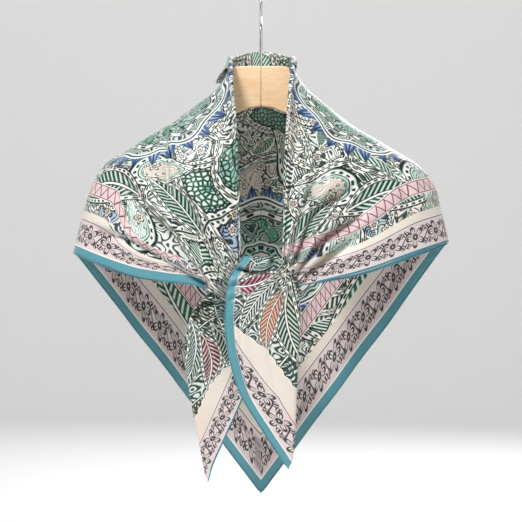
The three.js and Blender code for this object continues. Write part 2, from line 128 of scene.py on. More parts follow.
FRONT_TAIL = {
    "up": [-11, -3, 4.0, 4.8, -2, -18, -40, -72, -108, -154, -200, -226, -240],
    "out": [72.0, 71.5, 77, 87, 94.5, 97.5, 98, 98.5, 97.5, 95, 92, 90.5, 90],
    "left": [-14, -17, -19, -20, -24, -35, -39.5, -41, -37, -23, 5, 22, 29.5],
    "right": [8, 11, 14, 17, 31, 41, 44, 45, 43, 41, 39, 36.5, 34.5],
    "bend": [1.4, 1.4, 1.4, 1.6, 1.8, 2.4, 3.4, 4.4, 4.6, 4.2, 3.2, 2.0, 1.2],
    "back": [2, 2, 2, 2, 3, 5, 10, 24, 34, 26, 12, 5, 1],
}
REAR_TAIL = {
    "up": [-16, -30, -44, -58, -84, -106, -130, -162, -200, -238, -256],
    "out": [73.0, 73.5, 75, 79, 82, 82, 81, 79.5, 78, 77, 76.5],
    "left": [-30, -50, -67, -79, -87, -88.5, -87, -81.5, -74, -66.5, -64],
    "right": [-4, -5, -5, -3, 0, -2, -9, -23, -40, -57, -60],
    "bend": [1.6, 2.2, 3.0, 4.0, 4.8, 5.0, 4.8, 4.2, 3.2, 1.8, 1.2],
    "back": [4, 8, 12, 18, 26, 32, 32, 24, 12, 4, 1],
}
# Pleats down the tails: place at the knot, place at the end, height, width, reach.
FRONT_TAIL_PLEATS = [
    (0.14, 0.18, 1.6, 0.05, 0.7),
    (0.4, 0.5, 2.4, 0.05, 0.75),
    (0.54, 0.64, 2.6, 0.045, 0.7),
]
REAR_TAIL_PLEATS = [(0.2, 0.25, 2.4, 0.06, 0.8), (0.45, 0.5, 2.8, 0.06, 0.8)]
TAIL_FACE = 0.7
TAIL_FOLD = 0.18

KNOT_CORE = {"across": 0, "out": 84.2, "up": -16.8, "half": (17.5, 9.6, 20.4)}

HANGER = {
    "across": [0, 14, 28, 33, 42, 52, 79, 105, 152, 176, 184],
    "top": [233.5, 233.5, 233, 231.5, 214.4, 202.9, 182.2, 162.6, 134.4, 119.4, 109],
    "foot": [185.5, 183.5, 178, 175, 169, 162, 146, 130, 105, 91, 92],
    "thick": [15, 15, 16, 16, 17, 18, 21, 22, 24, 25, 17],
    "edge": [2, 2, 2, 2, 3, 4, 5, 6, 7, 7, 7],
}
HOOK = {"wire": 1.8, "bend": 20, "sunk": 24, "curl": 27, "tip": 35}

# Numbers over the cloth.


def mix(a, b, share):
    return a + (b - a) * share


def ease(start, end, value):
    share = np.clip((value - start) / (end - start), 0, 1)
    return share * share * (3 - 2 * share)


def hump(distance, width):
    return np.exp(-((distance / width) ** 2))


def crack(distance, width):
    """Like a hump, but with a sharp middle, as a pressed crease has."""
    return np.exp(-((np.abs(distance) / width) ** 1.25))


def unit(vectors):
    return vectors / np.maximum(np.linalg.norm(vectors, axis=-1, keepdims=True), 1e-12)


class LengthCurve:
    """A smooth curve through points, read by share of its length."""

    def __init__(self, points):
        points = np.array(points, float)
        ends = np.vstack([2 * points[0] - points[1], points, 2 * points[-1] - points[-2]])
        steps = np.linspace(0, 1, 40, endpoint=False)[:, None]
        pieces = []
        for before, start, end, after in zip(ends, ends[1:], ends[2:], ends[3:]):
            gaps = [np.linalg.norm(b - a) ** 0.5 for a, b in ((before, start), (start, end), (end, after))]
            first = (start - before) / gaps[0] - (end - before) / (gaps[0] + gaps[1]) + (end - start) / gaps[1]
            last = (end - start) / gaps[1] - (after - start) / (gaps[1] + gaps[2]) + (after - end) / gaps[2]
            first, last = first * gaps[1], last * gaps[1]
            square = -3 * start + 3 * end - 2 * first - last
            cube = 2 * start - 2 * end + first + last
            pieces.append(start + first * steps + square * steps**2 + cube * steps**3)
        self.points = np.vstack([*pieces, points[-1]])
        lengths = np.linalg.norm(np.diff(self.points, axis=0), axis=1)
        self.places = np.concatenate([[0], np.cumsum(lengths)])
        self.length = self.places[-1]

    def at(self, share):
        place = np.clip(share, 0, 1) * self.length
        return np.stack([np.interp(place, self.places, column) for column in self.points.T], -1)


def even_spline(values, share):
    """A smooth line through evenly spaced values."""
    values = np.array(values, float)
    last = len(values) - 1
    place = np.clip(share, 0, 1) * last
    index = np.minimum(place.astype(int), last - 1)
    step = place - index
    before, start = values[np.maximum(index - 1, 0)], values[index]
    end, after = values[index + 1], values[np.minimum(index + 2, last)]
    first, second = (end - before) / 2, (after - start) / 2
    cube = 2 * start - 2 * end + first + second
    square = -3 * start + 3 * end - 2 * first - second
    return cube * step**3 + square * step**2 + first * step + start


def shoulder_curve(name):
    sign = GATHER[name]["sign"]
    across = SHOULDER_LEFT if name == "left" else SHOULDER_RIGHT
    points = [(sign * x, 0, z) for x, z in zip(across, SHOULDER_UP)]
    return LengthCurve([*points, LEFT_ARM] if name == "left" else points)


SHOULDER_CURVES = {name: shoulder_curve(name) for name in GATHER}
BACK_CURVE = LengthCurve([(0, out, up) for out, up in zip(BACK_OUT, BACK_UP)])


def drape(name, share, way):
    """The smooth drape of one half. Way runs from 0 at the knot, over the shoulder at 1, to 2 behind."""
    side = GATHER[name]
    top = SHOULDER_CURVES[name].at(share)
    knot_x = side["sign"] * mix(side["edge"][0], side["hem"][0], share)
    knot_z = mix(side["edge"][1], side["hem"][1], share)
    turn = np.clip(way, 0, 1) * math.pi / 2
    outward = np.sin(turn) ** ROUNDNESS
    forward = np.abs(np.cos(turn)) ** ROUNDNESS
    steep = outward ** (1 + NECK_STEEPNESS * np.clip(1 - share, 0, 2) ** 6)
    bend = even_spline(HEM_BENDS[name], outward) * np.abs(share) ** 3
    front = np.stack(
        [mix(knot_x, top[..., 0], steep), -KNOT_OUT * forward, mix(knot_z, top[..., 2], outward) + bend], -1
    )
    middle = BACK_CURVE.at(share)
    turn = np.clip(way - 1, 0, 1) * math.pi / 2
    outward = np.abs(np.cos(turn)) ** ROUNDNESS
    drop = mix(1 - outward * outward, 1 - outward, np.clip(share, 0, 1) ** 2)
    back = np.stack(
        [top[..., 0] * outward, middle[..., 1] * np.sin(turn) ** ROUNDNESS, mix(top[..., 2], middle[..., 2], drop)],
        -1,
    )
    return np.where((way <= 1)[..., None], front, back)


def drape_normal(name, share, way):
    """The direction that leads out of the drape."""
    step = 0.004
    share = np.clip(share, 0.005, 0.995)
    way = np.clip(way, 0.01, 1.99)
    along_share = drape(name, share + step, way) - drape(name, share - step, way)
    along_way = drape(name, share, way + step) - drape(name, share, way - step)
    return unit(np.cross(along_share, along_way)) * GATHER[name]["sign"]


def beside_line(places, line):
    """How far places lie beside a line, above it or below it, and how far along it they are."""
    line = np.array(line, float)
    lengths = np.linalg.norm(np.diff(line, axis=0), axis=1)
    starts = np.concatenate([[0], np.cumsum(lengths)])
    best = np.full(places.shape[:-1], np.inf)
    beside, along = np.zeros(best.shape), np.zeros(best.shape)
    for start, end, length, before in zip(line, line[1:], lengths, starts):
        direction = (end - start) / length
        offset = places - start
        step = np.clip(offset @ direction, 0, length)
        away = offset - step[..., None] * direction
        distance = np.linalg.norm(away, axis=-1)
        upward = np.array([-direction[1], direction[0]]) * (1 if direction[0] > 0 else -1)
        nearer = distance < best
        best = np.where(nearer, distance, best)
        beside = np.where(nearer, np.where(away @ upward >= 0, distance, -distance), beside)
        along = np.where(nearer, (before + step) / starts[-1], along)
    return beside, along


def fold_lift(name, share, way, point):
    """How far folds, creases and flutes lift the cloth off the smooth drape."""
    lift = np.zeros(share.shape)
    for place, height, width, reach in FRONT_FOLDS[name]:
        lift += FOLD_GAIN * height * hump(share - place, width) * (1 - ease(reach * FOLD_HOLDS, reach, way))
    seen = np.stack([point[..., 0], point[..., 2]], -1)
    for crease in CREASES:
        beside, along = beside_line(seen, crease["line"])
        fade = ease(0, 0.12, along) * (1 - ease(0.78, 1, along)) if crease["depth"] < 2.5 else 1 - ease(0.7, 1, along)
        if crease["line"][0][0] < -150:
            fade = ease(0, 0.3, along)
        valley = -CREASE_GAIN * crease["depth"] * crack(beside, crease["width"])
        ridge = CREASE_GAIN * crease["ridge"] * hump(beside - 2.1 * crease["width"], 1.6 * crease["width"])
        lift += (valley + ridge) * fade * (1 - ease(0.75, 0.98, way))
    lift += 0.8 * np.sin(seen[..., 0] * 0.052 + seen[..., 1] * 0.081) * np.sin(seen[..., 1] * 0.037) * ease(0.15, 0.5, way)
    lift = np.where(way <= 1, lift * np.where(way > 0.9, 1 - ease(0.9, 1, way), 1), 0)
    flow = 1 - ease(-60, 130, point[..., 2])
    behind = ease(1.1, 1.5, way)
    flutes = sum(depth * hump(point[..., 0] - across, width) for across, depth, width in BACK_FLUTES)
    return np.where(way > 1, FLUTE_GAIN * flutes * flow * behind, lift)


def cloth(name, share, way):
    point = drape(name, share, way)
    normal = drape_normal(name, share, way)
    return point + normal * fold_lift(name, share, way, point)[..., None], normal


# Meshes.


def grid_piece(name, columns, rows, shape, closed=False):
    """A grid moved onto a surface. Shape takes two shares and gives places in millimetres and UV maps."""
    bm = bmesh.new()
    bmesh.ops.create_grid(bm, x_segments=columns, y_segments=rows, size=0.5)
    bm.verts.index_update()
    flat = np.array([vert.co for vert in bm.verts])
    places, maps = shape(flat[:, 0] + 0.5, flat[:, 1] + 0.5)
    places = (places - np.array([0, 0, HOOK_REST_UP])) * MM
    for vert, place in zip(bm.verts, places):
        vert.co = place
    for label, values in maps.items():
        layer = bm.loops.layers.uv.new(label)
        for face in bm.faces:
            for loop in face.loops:
                loop[layer].uv = values[loop.vert.index]
    if closed:
        bmesh.ops.remove_doubles(bm, verts=bm.verts, dist=0.00002)
        bmesh.ops.holes_fill(bm, edges=[edge for edge in bm.edges if edge.is_boundary], sides=0)
        bmesh.ops.recalc_face_normals(bm, faces=bm.faces)
    return mesh_piece(name, bm)


def mesh_piece(name, bm):
    mesh = bpy.data.meshes.new(name)
    bm.to_mesh(mesh)
    bm.free()
    for face in mesh.polygons:
        face.use_smooth = True
    piece = bpy.data.objects.new(name, mesh)
    bpy.context.scene.collection.objects.link(piece)
    return piece


def thicken(piece, thickness):
    modifier = piece.modifiers.new("Thickness", "SOLIDIFY")
    modifier.thickness = thickness
    modifier.offset = 0
    modifier.use_even_offset = False


def finish_piece(piece, material, slot, *nodes):
    piece.data.materials.clear()
    piece.data.materials.append(material)
    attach(piece, "root")
    if nodes:
        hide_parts(*nodes)
    return piece


def tube_shape(path, radius, wobble=0.0, taper=0.0):
    """A tube round a path of points, for grid_piece: along it and round it."""
    path = np.array(path, float)
    lengths = np.linalg.norm(np.diff(path, axis=0), axis=1)
    places = np.concatenate([[0], np.cumsum(lengths)])
    tangents = unit(np.gradient(path, axis=0))
    side = unit(np.cross(tangents, np.array([0.13, 0.21, 0.97])))
    over = np.cross(tangents, side)

    def shape(along, around):
        place = along * places[-1]
        at = [np.stack([np.interp(place, places, column) for column in part.T], -1) for part in (path, side, over)]
        turn = around * 2 * math.pi
        girth = radius * (1 + wobble * np.sin(place * 0.55) * np.sin(place * 0.17 + 1))
        girth = girth * (1 - taper * ease(0.97, 1, along))
        out = at[1] * np.cos(turn)[:, None] + at[2] * np.sin(turn)[:, None]
        uv = np.stack([place * MM, around * 2 * math.pi * radius * MM], -1)
        return at[0] + out * girth[:, None], {"border": uv, "print": uv}

    return shape


# Sizes and colours that a user would change.


class ScarfSizes(bpy.types.PropertyGroup):
    thickness: FloatProperty(
        name="Thickness", description="Two layers of silk, lying together", default=0.0011, unit="LENGTH"
    )
    hem_roll: FloatProperty(
        name="Hem roll", description="Radius of the rolled hem", default=0.0011, unit="LENGTH"
    )
    collar_fall: FloatProperty(
        name="Collar fall", description="How deep the collar turns down behind", default=0.036, unit="LENGTH"
    )
    ridge_roll: FloatProperty(
        name="Ridge roll", description="Radius of the soft roll at the folded edge", default=0.0016, unit="LENGTH"
    )
    columns: IntProperty(name="Columns", description="Divisions from gather to gather", default=320)
    rows: IntProperty(name="Rows", description="Divisions from the folded edge to the hem", default=140)


def tone(code):
    """A colour written as on paper, as the shader wants it."""
    parts = [int(code[i : i + 2], 16) / 255 for i in (0, 2, 4)]
    return tuple(p / 12.92 if p <= 0.04045 else ((p + 0.055) / 1.055) ** 2.4 for p in parts)


def colour_choice(name, code, description):
    return FloatVectorProperty(
        name=name, description=description, default=tone(code), subtype="COLOR", size=3, min=0, max=1
    )


class ScarfColours(bpy.types.PropertyGroup):
    teal: colour_choice("Hem", "6DA6B0", "Rolled hem and the outer edge of the border")
    pink: colour_choice("Border", "E4D5D5", "Band with the blossoms")
    cream: colour_choice("Cream", "E9E0D6", "Strip inside the border, and the corners of the tails")
    white: colour_choice("White", "F4F4EC", "Light lines of the print")
    line: colour_choice("Line", "1E262B", "Dark lines of the print")
    pale: colour_choice("Pale", "DDEAE2", "Palest ground")
    mint: colour_choice("Mint", "C3E0D3", "Green ground")
    green: colour_choice("Green", "2F8A63", "Leaves inside the medallions")
    blue: colour_choice("Blue", "456392", "Points round the medallions")
    wood: colour_choice("Wood", "FCD6AA", "Lacquered beech of the hanger")
    steel: colour_choice("Steel", "E2E4E6", "Polished hook")


class StageSettings(bpy.types.PropertyGroup):
    floor_drop: FloatProperty(
        name="Floor", description="How far the floor lies below the mount", default=0.78, unit="LENGTH"
    )
    camera_away: FloatProperty(
        name="Camera distance", description="From the camera to the hanger", default=2.4, unit="LENGTH"
    )
    field: FloatProperty(
        name="Field", description="Width of the view at the hanger", default=0.6264, unit="LENGTH"
    )


# The cape.

ROLL_ROWS = 0.035
FALL_ROWS = 0.11
TUCK = 0.06
CLOTH_LENGTHS = {"shoulder": 312, "back": 560}


def fall_length(sweep):
    """How deep the collar falls: all of it behind, and a narrow roll along the fronts."""
    fall = bpy.context.scene.scarf_sizes.collar_fall / MM
    way = 2 - np.abs(sweep)
    return mix(2.2, fall, np.where(sweep < 0, ease(0.72, 1.15, way), ease(1.0, 1.5, way)))


def evened(turned):
    """The way round the back, from its middle to the crest of the shoulder, evened out by its length."""
    steps = np.linspace(0, 1, 200)
    turn = steps * math.pi / 2
    across, deep = np.sin(turn) ** ROUNDNESS, 0.4 * np.cos(turn) ** ROUNDNESS
    lengths = np.concatenate([[0], np.cumsum(np.hypot(np.diff(across), np.diff(deep)))])
    return np.interp(turned, steps, lengths / lengths[-1])


def flat_place(side, share, way):
    """Where a point of the drape lies on the cloth laid flat: metres from its middle, and from its fold."""
    behind = np.stack([np.zeros(share.shape), 0.57 * share], -1)
    over = np.stack([mix(0.064, 0.230, share), mix(0, 0.262, share)], -1)
    front = np.stack([mix(0.325, 0.376, share), mix(0, 0.066, share)], -1)
    crest = np.linalg.norm(over - behind, axis=-1)
    total = crest + np.linalg.norm(front - over, axis=-1)
    middle = crest / total
    turned = np.clip(2 - way, 0, 2.1)
    step = np.where(turned < 1, turned * middle, middle + (turned - 1) * (1 - middle))
    first = (step - middle) * (step - 1) / middle
    second = step * (step - 1) / (middle * (middle - 1))
    third = step * (step - middle) / (1 - middle)
    flat = behind * first[:, None] + over * second[:, None] + front * third[:, None]
    # behind, the rows of the print fall as the drape's own do
    outward = evened(turned)
    drop = mix(1 - outward * outward, 1 - outward, np.clip(share, 0, 1) ** 2)
    back = np.stack([over[:, 0] * outward, mix(over[:, 1], behind[:, 1], drop)], -1)
    flat = np.where((way > 1)[:, None], back, flat)
    flat[:, 0] *= side
    return flat


def cape_surface(share, sweep, past=0.0):
    """A point of the cape, its outward direction and its way round. Past leads beyond the hem."""
    way = np.clip(2 - np.abs(sweep), 0, 2)
    places, normals = {}, {}
    for name in GATHER:
        places[name], normals[name] = cloth(name, share, way)
        edge = np.full(share.shape, 1.0)
        outer, inner = (drape(name, edge - step, way) for step in (0, 0.01))
        places[name] = places[name] + unit(outer - inner) * np.asarray(past)[..., None]
    left = (sweep < 0)[:, None]
    point = np.where(left, places["left"], places["right"])
    normal = np.where(left, normals["left"], normals["right"])
    tuck = np.clip(np.abs(sweep) - 2, 0, 1) / TUCK
    core = np.array([0, -KNOT_OUT, -17.0])
    inward = core + (point - core) * np.array([0.25, 0.4, 0.55])
    return mix(point, inward, (np.clip(tuck, 0, 1) ** 1.3)[:, None]), normal, way


def measured_distance(share, way, name):
    """Distance from the hem, square to it, measured on the smooth drape in metres."""
    steps = 24
    total = np.zeros(share.shape)
    before = drape(name, share, way)
    for step in range(1, steps + 1):
        place = mix(share, 1.0, step / steps)
        here = drape(name, place, way)
        direction = unit(drape(name, np.ones(share.shape), np.clip(way + 0.01, 0, 2)) - drape(name, np.ones(share.shape), np.clip(way - 0.01, 0, 2)))
        move = here - before
        square = move - (move * direction).sum(-1, keepdims=True) * direction
        total += np.linalg.norm(square, axis=-1)
        before = here
    return total * MM


def hem_length():
    """Length along the hem at each way, in metres, for both halves."""
    ways = np.linspace(0, 2, 400)
    lengths = {}
    for name in GATHER:
        line = drape(name, np.ones(400), ways)
        lengths[name] = np.concatenate([[0], np.cumsum(np.linalg.norm(np.diff(line, axis=0), axis=1))]) * MM
    return ways, lengths


def cape_maps(share, sweep, fallen):
    """The print map and the border map of the cape."""
    way = np.clip(2 - np.abs(sweep), 0, 2)
    side = np.where(sweep < 0, -1.0, 1.0)
    ways, lengths = hem_length()
    flat = flat_place(1, np.where(fallen > 0, 0, share), way)
    flat[:, 1] -= fallen * MM
    flat[:, 0] *= side
    distance = np.where(sweep < 0, measured_distance(share, way, "left"), measured_distance(share, way, "right"))
    distance = distance + fallen * MM
    along = np.where(sweep < 0, np.interp(way, ways, lengths["left"]), -np.interp(way, ways, lengths["right"]))
    teal = np.where(sweep < 0, 1.0, mix(8.0, 1.0, ease(0.98, 1.2, way)))
    pink = 1 + np.where(sweep < 0, 3.5, 0.6) * (1 - ease(0.05, 0.62, way))
    pink = pink + np.where(sweep < 0, 14, 0) * (1 - ease(0.09, 0.2, way))
    edge = 0.010 / teal
    bordered = np.where(distance < edge, distance * teal, 0.010 + (distance - edge) * pink)
    tucked = np.where(sweep < 0, 0.06 * (1 - ease(0.055, 0.085, way)), 0.004 * (1 - ease(0.06, 0.1, way)))
    bordered = bordered + tucked
    return {"print": flat, "border": np.stack([along, bordered], -1)}


def cape_shape(u, v):
    sizes = bpy.context.scene.scarf_sizes
    roll = sizes.ridge_roll / MM
    sweep = (u * 2 - 1) * (2 + TUCK)
    way = np.clip(2 - np.abs(sweep), 0, 2)
    fall = fall_length(sweep)
    length = mix(CLOTH_LENGTHS["shoulder"], CLOTH_LENGTHS["back"], ease(1, 2, way))
    down = np.clip((FALL_ROWS - v) / FALL_ROWS, 0, 1)
    around = np.clip((FALL_ROWS + ROLL_ROWS - v) / ROLL_ROWS, 0, 1)
    main = np.clip((v - FALL_ROWS - ROLL_ROWS) / (1 - FALL_ROWS - ROLL_ROWS), 0, 1)
    share = np.where(v < FALL_ROWS, fall / length * down, main)
    point, normal, way = cape_surface(share, sweep)
    upward = unit(cape_surface(np.full(u.shape, 0.001), sweep)[0] - cape_surface(np.full(u.shape, 0.02), sweep)[0])
    fade = 1 - np.clip((np.abs(sweep) - 2) / TUCK, 0, 1) * 0.6
    turn = around * math.pi
    rolled = (np.sin(turn) * roll * fade)[:, None] * upward + ((1 - np.cos(turn)) * roll * fade)[:, None] * normal
    wave = 0.8 * np.sin(sweep * 23) * ease(0.9, 1.4, way)
    stands = mix(np.where(sweep < 0, 5.0, 1.2), 5.0, ease(1.2, 1.7, way))
    flare = (stands * ease(0.72, 1.15, way) * down**2 + wave * down)[:, None] * normal
    flare += np.where(down > 0, 1, 0)[:, None] * normal * 0.4 * roll * np.sin(down * math.pi / 2)[:, None]
    fallen = down * fall + np.where(around > 0, around * roll * 2, 0)
    return point + rolled + flare, cape_maps(share, sweep, fallen)


def hem_path(past, inset=0.0, start=-2.0, end=2.0, count=520):
    """Points along the hem, from the left gather round the back to the right one."""
    sweep = np.linspace(start, end, count)
    share = np.ones(count)
    point, normal, way = cape_surface(share, sweep, past=np.zeros(count) + past(sweep))
    tucked = 1 - ease(0.04, 0.09, way)
    point = point - normal * (inset + 4 * tucked)[:, None]
    point[:, 2] += 5 * tucked
    return point, normal


def under_peek(sweep):
    """How far the under layer shows below the upper one, in millimetres."""
    right = 3.6 + 1.2 * np.sin(sweep * 5)
    left = 1.0 + 0.8 * np.sin(sweep * 7)
    around = mix(left, right, ease(-0.4, 0.6, sweep))
    return around * (1 - 0.8 * ease(1.75, 2.0, np.abs(sweep)))


def under_shape(u, v):
    sweep = (u * 2 - 1) * 1.995
    peek = under_peek(sweep)
    depth = mix(52.0, 0.0, v)
    length = mix(CLOTH_LENGTHS["shoulder"], CLOTH_LENGTHS["back"], ease(1, 2, 2 - np.abs(sweep)))
    narrowed = mix(52.0, 20.0, ease(1.4, 2, np.abs(sweep))) / 52.0
    share = 1 - depth * narrowed / length
    point, normal, way = cape_surface(share, sweep, past=peek * v)
    inside = mix(0.15, 2.1, ease(0, 0.4, v))
    place = point - normal * inside[:, None]
    return place, cape_maps(share, sweep, np.zeros(u.shape))


class SCARF_OT_cape(bpy.types.Operator):
    """Make the cape: the fronts, the back and the turned-down collar as one sheet"""

    bl_idname = "scarf.cape"
    bl_label = "Cape"

    def execute(self, context):
        sizes = context.scene.scarf_sizes
        silk = cape_silk()
        cape = grid_piece("scarf_cape", sizes.columns, sizes.rows, cape_shape)
        thicken(cape, sizes.thickness)
        finish_piece(cape, silk, "silk", "cape_front_left", "cape_front_right", "cape_back", "collar_fall")
        under = grid_piece("scarf_under_hem", sizes.columns, 8, under_shape)
        thicken(under, 0.0006)
        finish_piece(under, silk, "silk")
        radius = sizes.hem_roll / MM
        upper_path, _ = hem_path(lambda sweep: 0 * sweep)
        lower_path, lower_normal = hem_path(under_peek, inset=2.1, start=-1.995, end=1.995)
        hems = [
            grid_piece("scarf_hem", 900, 8, tube_shape(upper_path, radius, 0.06), closed=True),
            grid_piece("scarf_under_hem_roll", 900, 8, tube_shape(lower_path, radius * 0.8, 0.06), closed=True),
        ]
        for hem in hems:
            finish_piece(hem, hem_silk(), "silk")
        return {"FINISHED"}


# The knot and the tails.


def tail_surface(rows, pleats, side):
    """A tail: across runs from its hem, over its front, round its fold and back behind."""

    def surface(across, along, proud=0.0):
        row = {key: even_spline(values, along) for key, values in rows.items()}
        bend = np.maximum(row["bend"], 1.1)
        hem_edge = row["left"] if side > 0 else row["right"]
        fold_edge = (row["right"] if side > 0 else row["left"]) - side * bend
        turn = math.pi * np.clip((across - TAIL_FACE) / TAIL_FOLD, 0, 1)
        behind = np.maximum(across - TAIL_FACE - TAIL_FOLD, 0) / (1 - TAIL_FACE - TAIL_FOLD)
        face = mix(hem_edge, fold_edge, np.minimum(across / TAIL_FACE, 1))
        x = face + side * (bend * np.sin(turn) - row["back"] * behind)
        x = mix(x, (hem_edge + fold_edge) / 2, 0.85 * ease(0.93, 1, along))
        y = row["out"] - bend * (1 - np.cos(turn))
        lift = np.zeros(across.shape)
        for start, end, height, width, reach in pleats:
            place = mix(start, end, along)
            lift += height * hump(across - place, width) * (1 - ease(reach * FOLD_HOLDS, reach, along))
        y = y + lift * ease(0.05, 0.3, along) + proud
        return np.stack([x, -y, row["up"]], -1)

    return surface


def tail_maps(surface, across, along):
    """Metres from the hem and metres down the tail."""
    fine = np.linspace(0, 1, 80)
    rows = np.linspace(0, 1, 60)
    table = np.array([surface(fine, np.full(80, row)) for row in rows])
    widths = np.concatenate(
        [np.zeros((60, 1)), np.cumsum(np.linalg.norm(np.diff(table, axis=1), axis=2), axis=1)], axis=1
    )
    middle = table[:, 28]
    lengths = np.concatenate([[0], np.cumsum(np.linalg.norm(np.diff(middle, axis=0), axis=1))])
    row_place = np.clip(along * 59, 0, 58.999)
    column_place = np.clip(across * 79, 0, 78.999)
    i, j = row_place.astype(int), column_place.astype(int)
    a, b = row_place - i, column_place - j
    near = mix(widths[i, j], widths[i, j + 1], b)
    far = mix(widths[i + 1, j], widths[i + 1, j + 1], b)
    return np.stack([mix(near, far, a) * MM, np.interp(along, rows, lengths) * MM], -1)


front_surface = tail_surface(FRONT_TAIL, FRONT_TAIL_PLEATS, 1)
rear_surface = tail_surface(REAR_TAIL, REAR_TAIL_PLEATS, -1)

# Folds that fan from the top right of the knot over the front tail: lines of (across, up), depth, width.
KNOT_FANS = [
    {"line": [(15, 3), (30, -4), (46, -16)], "depth": 3.6, "width": 1.7},
    {"line": [(14, 2), (29, -12), (45, -30)], "depth": 4.2, "width": 1.8},
    {"line": [(13, 1), (25, -20), (43, -50)], "depth": 4.4, "width": 2.0},
    {"line": [(12, 0), (19, -28), (33, -74)], "depth": 4.0, "width": 2.2},
    {"line": [(10, -2), (10, -34), (17, -90)], "depth": 3.2, "width": 2.6},
    {"line": [(-25, -9), (-10, -14), (6, -13), (17, -5)], "depth": 7.0, "width": 2.1},
    {"line": [(-31, -27), (-12, -25), (6, -20), (18, -9)], "depth": 3.2, "width": 2.4},
    {"line": [(-34, -44), (-18, -40), (0, -33), (13, -20)], "depth": 2.2, "width": 2.8},
    {"line": [(-30, -70), (-26, -110), (-14, -150)], "depth": 2.6, "width": 4.0},
    {"line": [(6, -60), (10, -110), (22, -160)], "depth": 2.2, "width": 4.0},
]
REAR_FANS = [
    {"line": [(-78, -66), (-71, -53), (-56, -49), (-40, -54)], "depth": 9.0, "width": 3.0},
    {"line": [(-66, -78), (-60, -112), (-62, -150)], "depth": 4.2, "width": 2.8},
    {"line": [(-81, -84), (-79, -120), (-76, -160)], "depth": 3.0, "width": 2.4},
    {"line": [(-52, -66), (-40, -98), (-32, -126)], "depth": 4.6, "width": 2.8},
    {"line": [(-64, -58), (-58, -74), (-46, -88)], "depth": 4.4, "width": 2.6},
]


def fan_lift(point, fans):
    seen = np.stack([point[..., 0], point[..., 2]], -1)
    lift = np.zeros(point.shape[:-1])
    for fan in fans:
        beside, along = beside_line(seen, fan["line"])
        valley = -fan["depth"] * hump(beside, fan["width"])
        ridge = 0.6 * fan["depth"] * hump(beside - 2.0 * fan["width"], 1.5 * fan["width"])
        lift += (valley + ridge) * (1 - ease(0.6, 1, along))
    return lift * ease(-210, -170, point[..., 2])


def tail_shape(surface, fans, lift_from, lift_all, teal, gain):
    """A tail with its fans of folds. Teal and gain say how much the border's two bands are narrowed."""

    def shape(u, v):
        place = surface(u, v)
        on_face = (1 - ease(TAIL_FACE, TAIL_FACE + 0.05, u)) * ease(lift_from, lift_all, v)
        lift = fan_lift(place, fans) * on_face
        proud = surface(u, v, lift)
        maps = tail_maps(surface, u, v)
        border = maps * gain
        edge = 0.010 / teal
        border[:, 0] = np.where(maps[:, 0] < edge, maps[:, 0] * teal, 0.010 + (maps[:, 0] - edge) * gain)
        return proud, {"print": maps, "border": border}

    return shape


def tail_edge(surface, count=260):
    along = np.linspace(0.0, 1, count)
    return surface(np.zeros(count), along)


class SCARF_OT_tails(bpy.types.Operator):
    """Make the two hanging ends with their rolled hems"""

    bl_idname = "scarf.tails"
    bl_label = "Tails"

    def execute(self, context):
        sizes = context.scene.scarf_sizes
        radius = sizes.hem_roll / MM
        rows = (
            ("scarf_front_tail", front_surface, (KNOT_FANS, 0.2, 0.32, 1, 1), "tail_front", front_tail_silk),
            ("scarf_rear_tail", rear_surface, (REAR_FANS, 0.1, 0.2, 12, 1.29), "tail_rear", rear_tail_silk),
        )
        for name, surface, folds, node, silk in rows:
            tail = grid_piece(name, 130, 260, tail_shape(surface, *folds))
            thicken(tail, sizes.thickness)
            finish_piece(tail, silk(), "silk", node)
            hem = grid_piece(name + "_hem", 360, 8, tube_shape(tail_edge(surface), radius, 0.06, 0.7), closed=True)
            finish_piece(hem, hem_silk(), "silk")
        return {"FINISHED"}


class SCARF_OT_knot(bpy.types.Operator):
    """Make the gathered crossing of the two ends, inside the knot"""

    bl_idname = "scarf.knot"
    bl_label = "Knot"

    def execute(self, context):
        bm = bmesh.new()
        bmesh.ops.create_uvsphere(bm, u_segments=96, v_segments=48, radius=1)
        for vert in bm.verts:
            x, y, z = vert.co
            turn, girth = math.atan2(y, x), math.hypot(x, y)
            boxy = [math.copysign(abs(value) ** 0.8, value) for value in (math.cos(turn), math.sin(turn))]
            pleat = 1 + 0.035 * math.sin(11 * z + 2.4 * math.sin(turn + 0.6)) * girth
            half = KNOT_CORE["half"]
            vert.co = Vector(
                (
                    half[0] * boxy[0] * girth**0.7 * pleat,
                    half[1] * boxy[1] * girth**0.7 * pleat - KNOT_CORE["out"],
                    half[2] * z + KNOT_CORE["up"] - HOOK_REST_UP,
                )
            ) * MM
        layer = bm.loops.layers.uv.new("print")
        border = bm.loops.layers.uv.new("border")
        for face in bm.faces:
            for loop in face.loops:
                place = (loop.vert.co.x + 0.2, loop.vert.co.z + 0.5)
                loop[layer].uv = place
                loop[border].uv = (place[0], 0.2)
        knot = mesh_piece("scarf_knot", bm)
        finish_piece(knot, cape_silk(), "silk", "knot_core")
        return {"FINISHED"}


# The hanger and its hook.


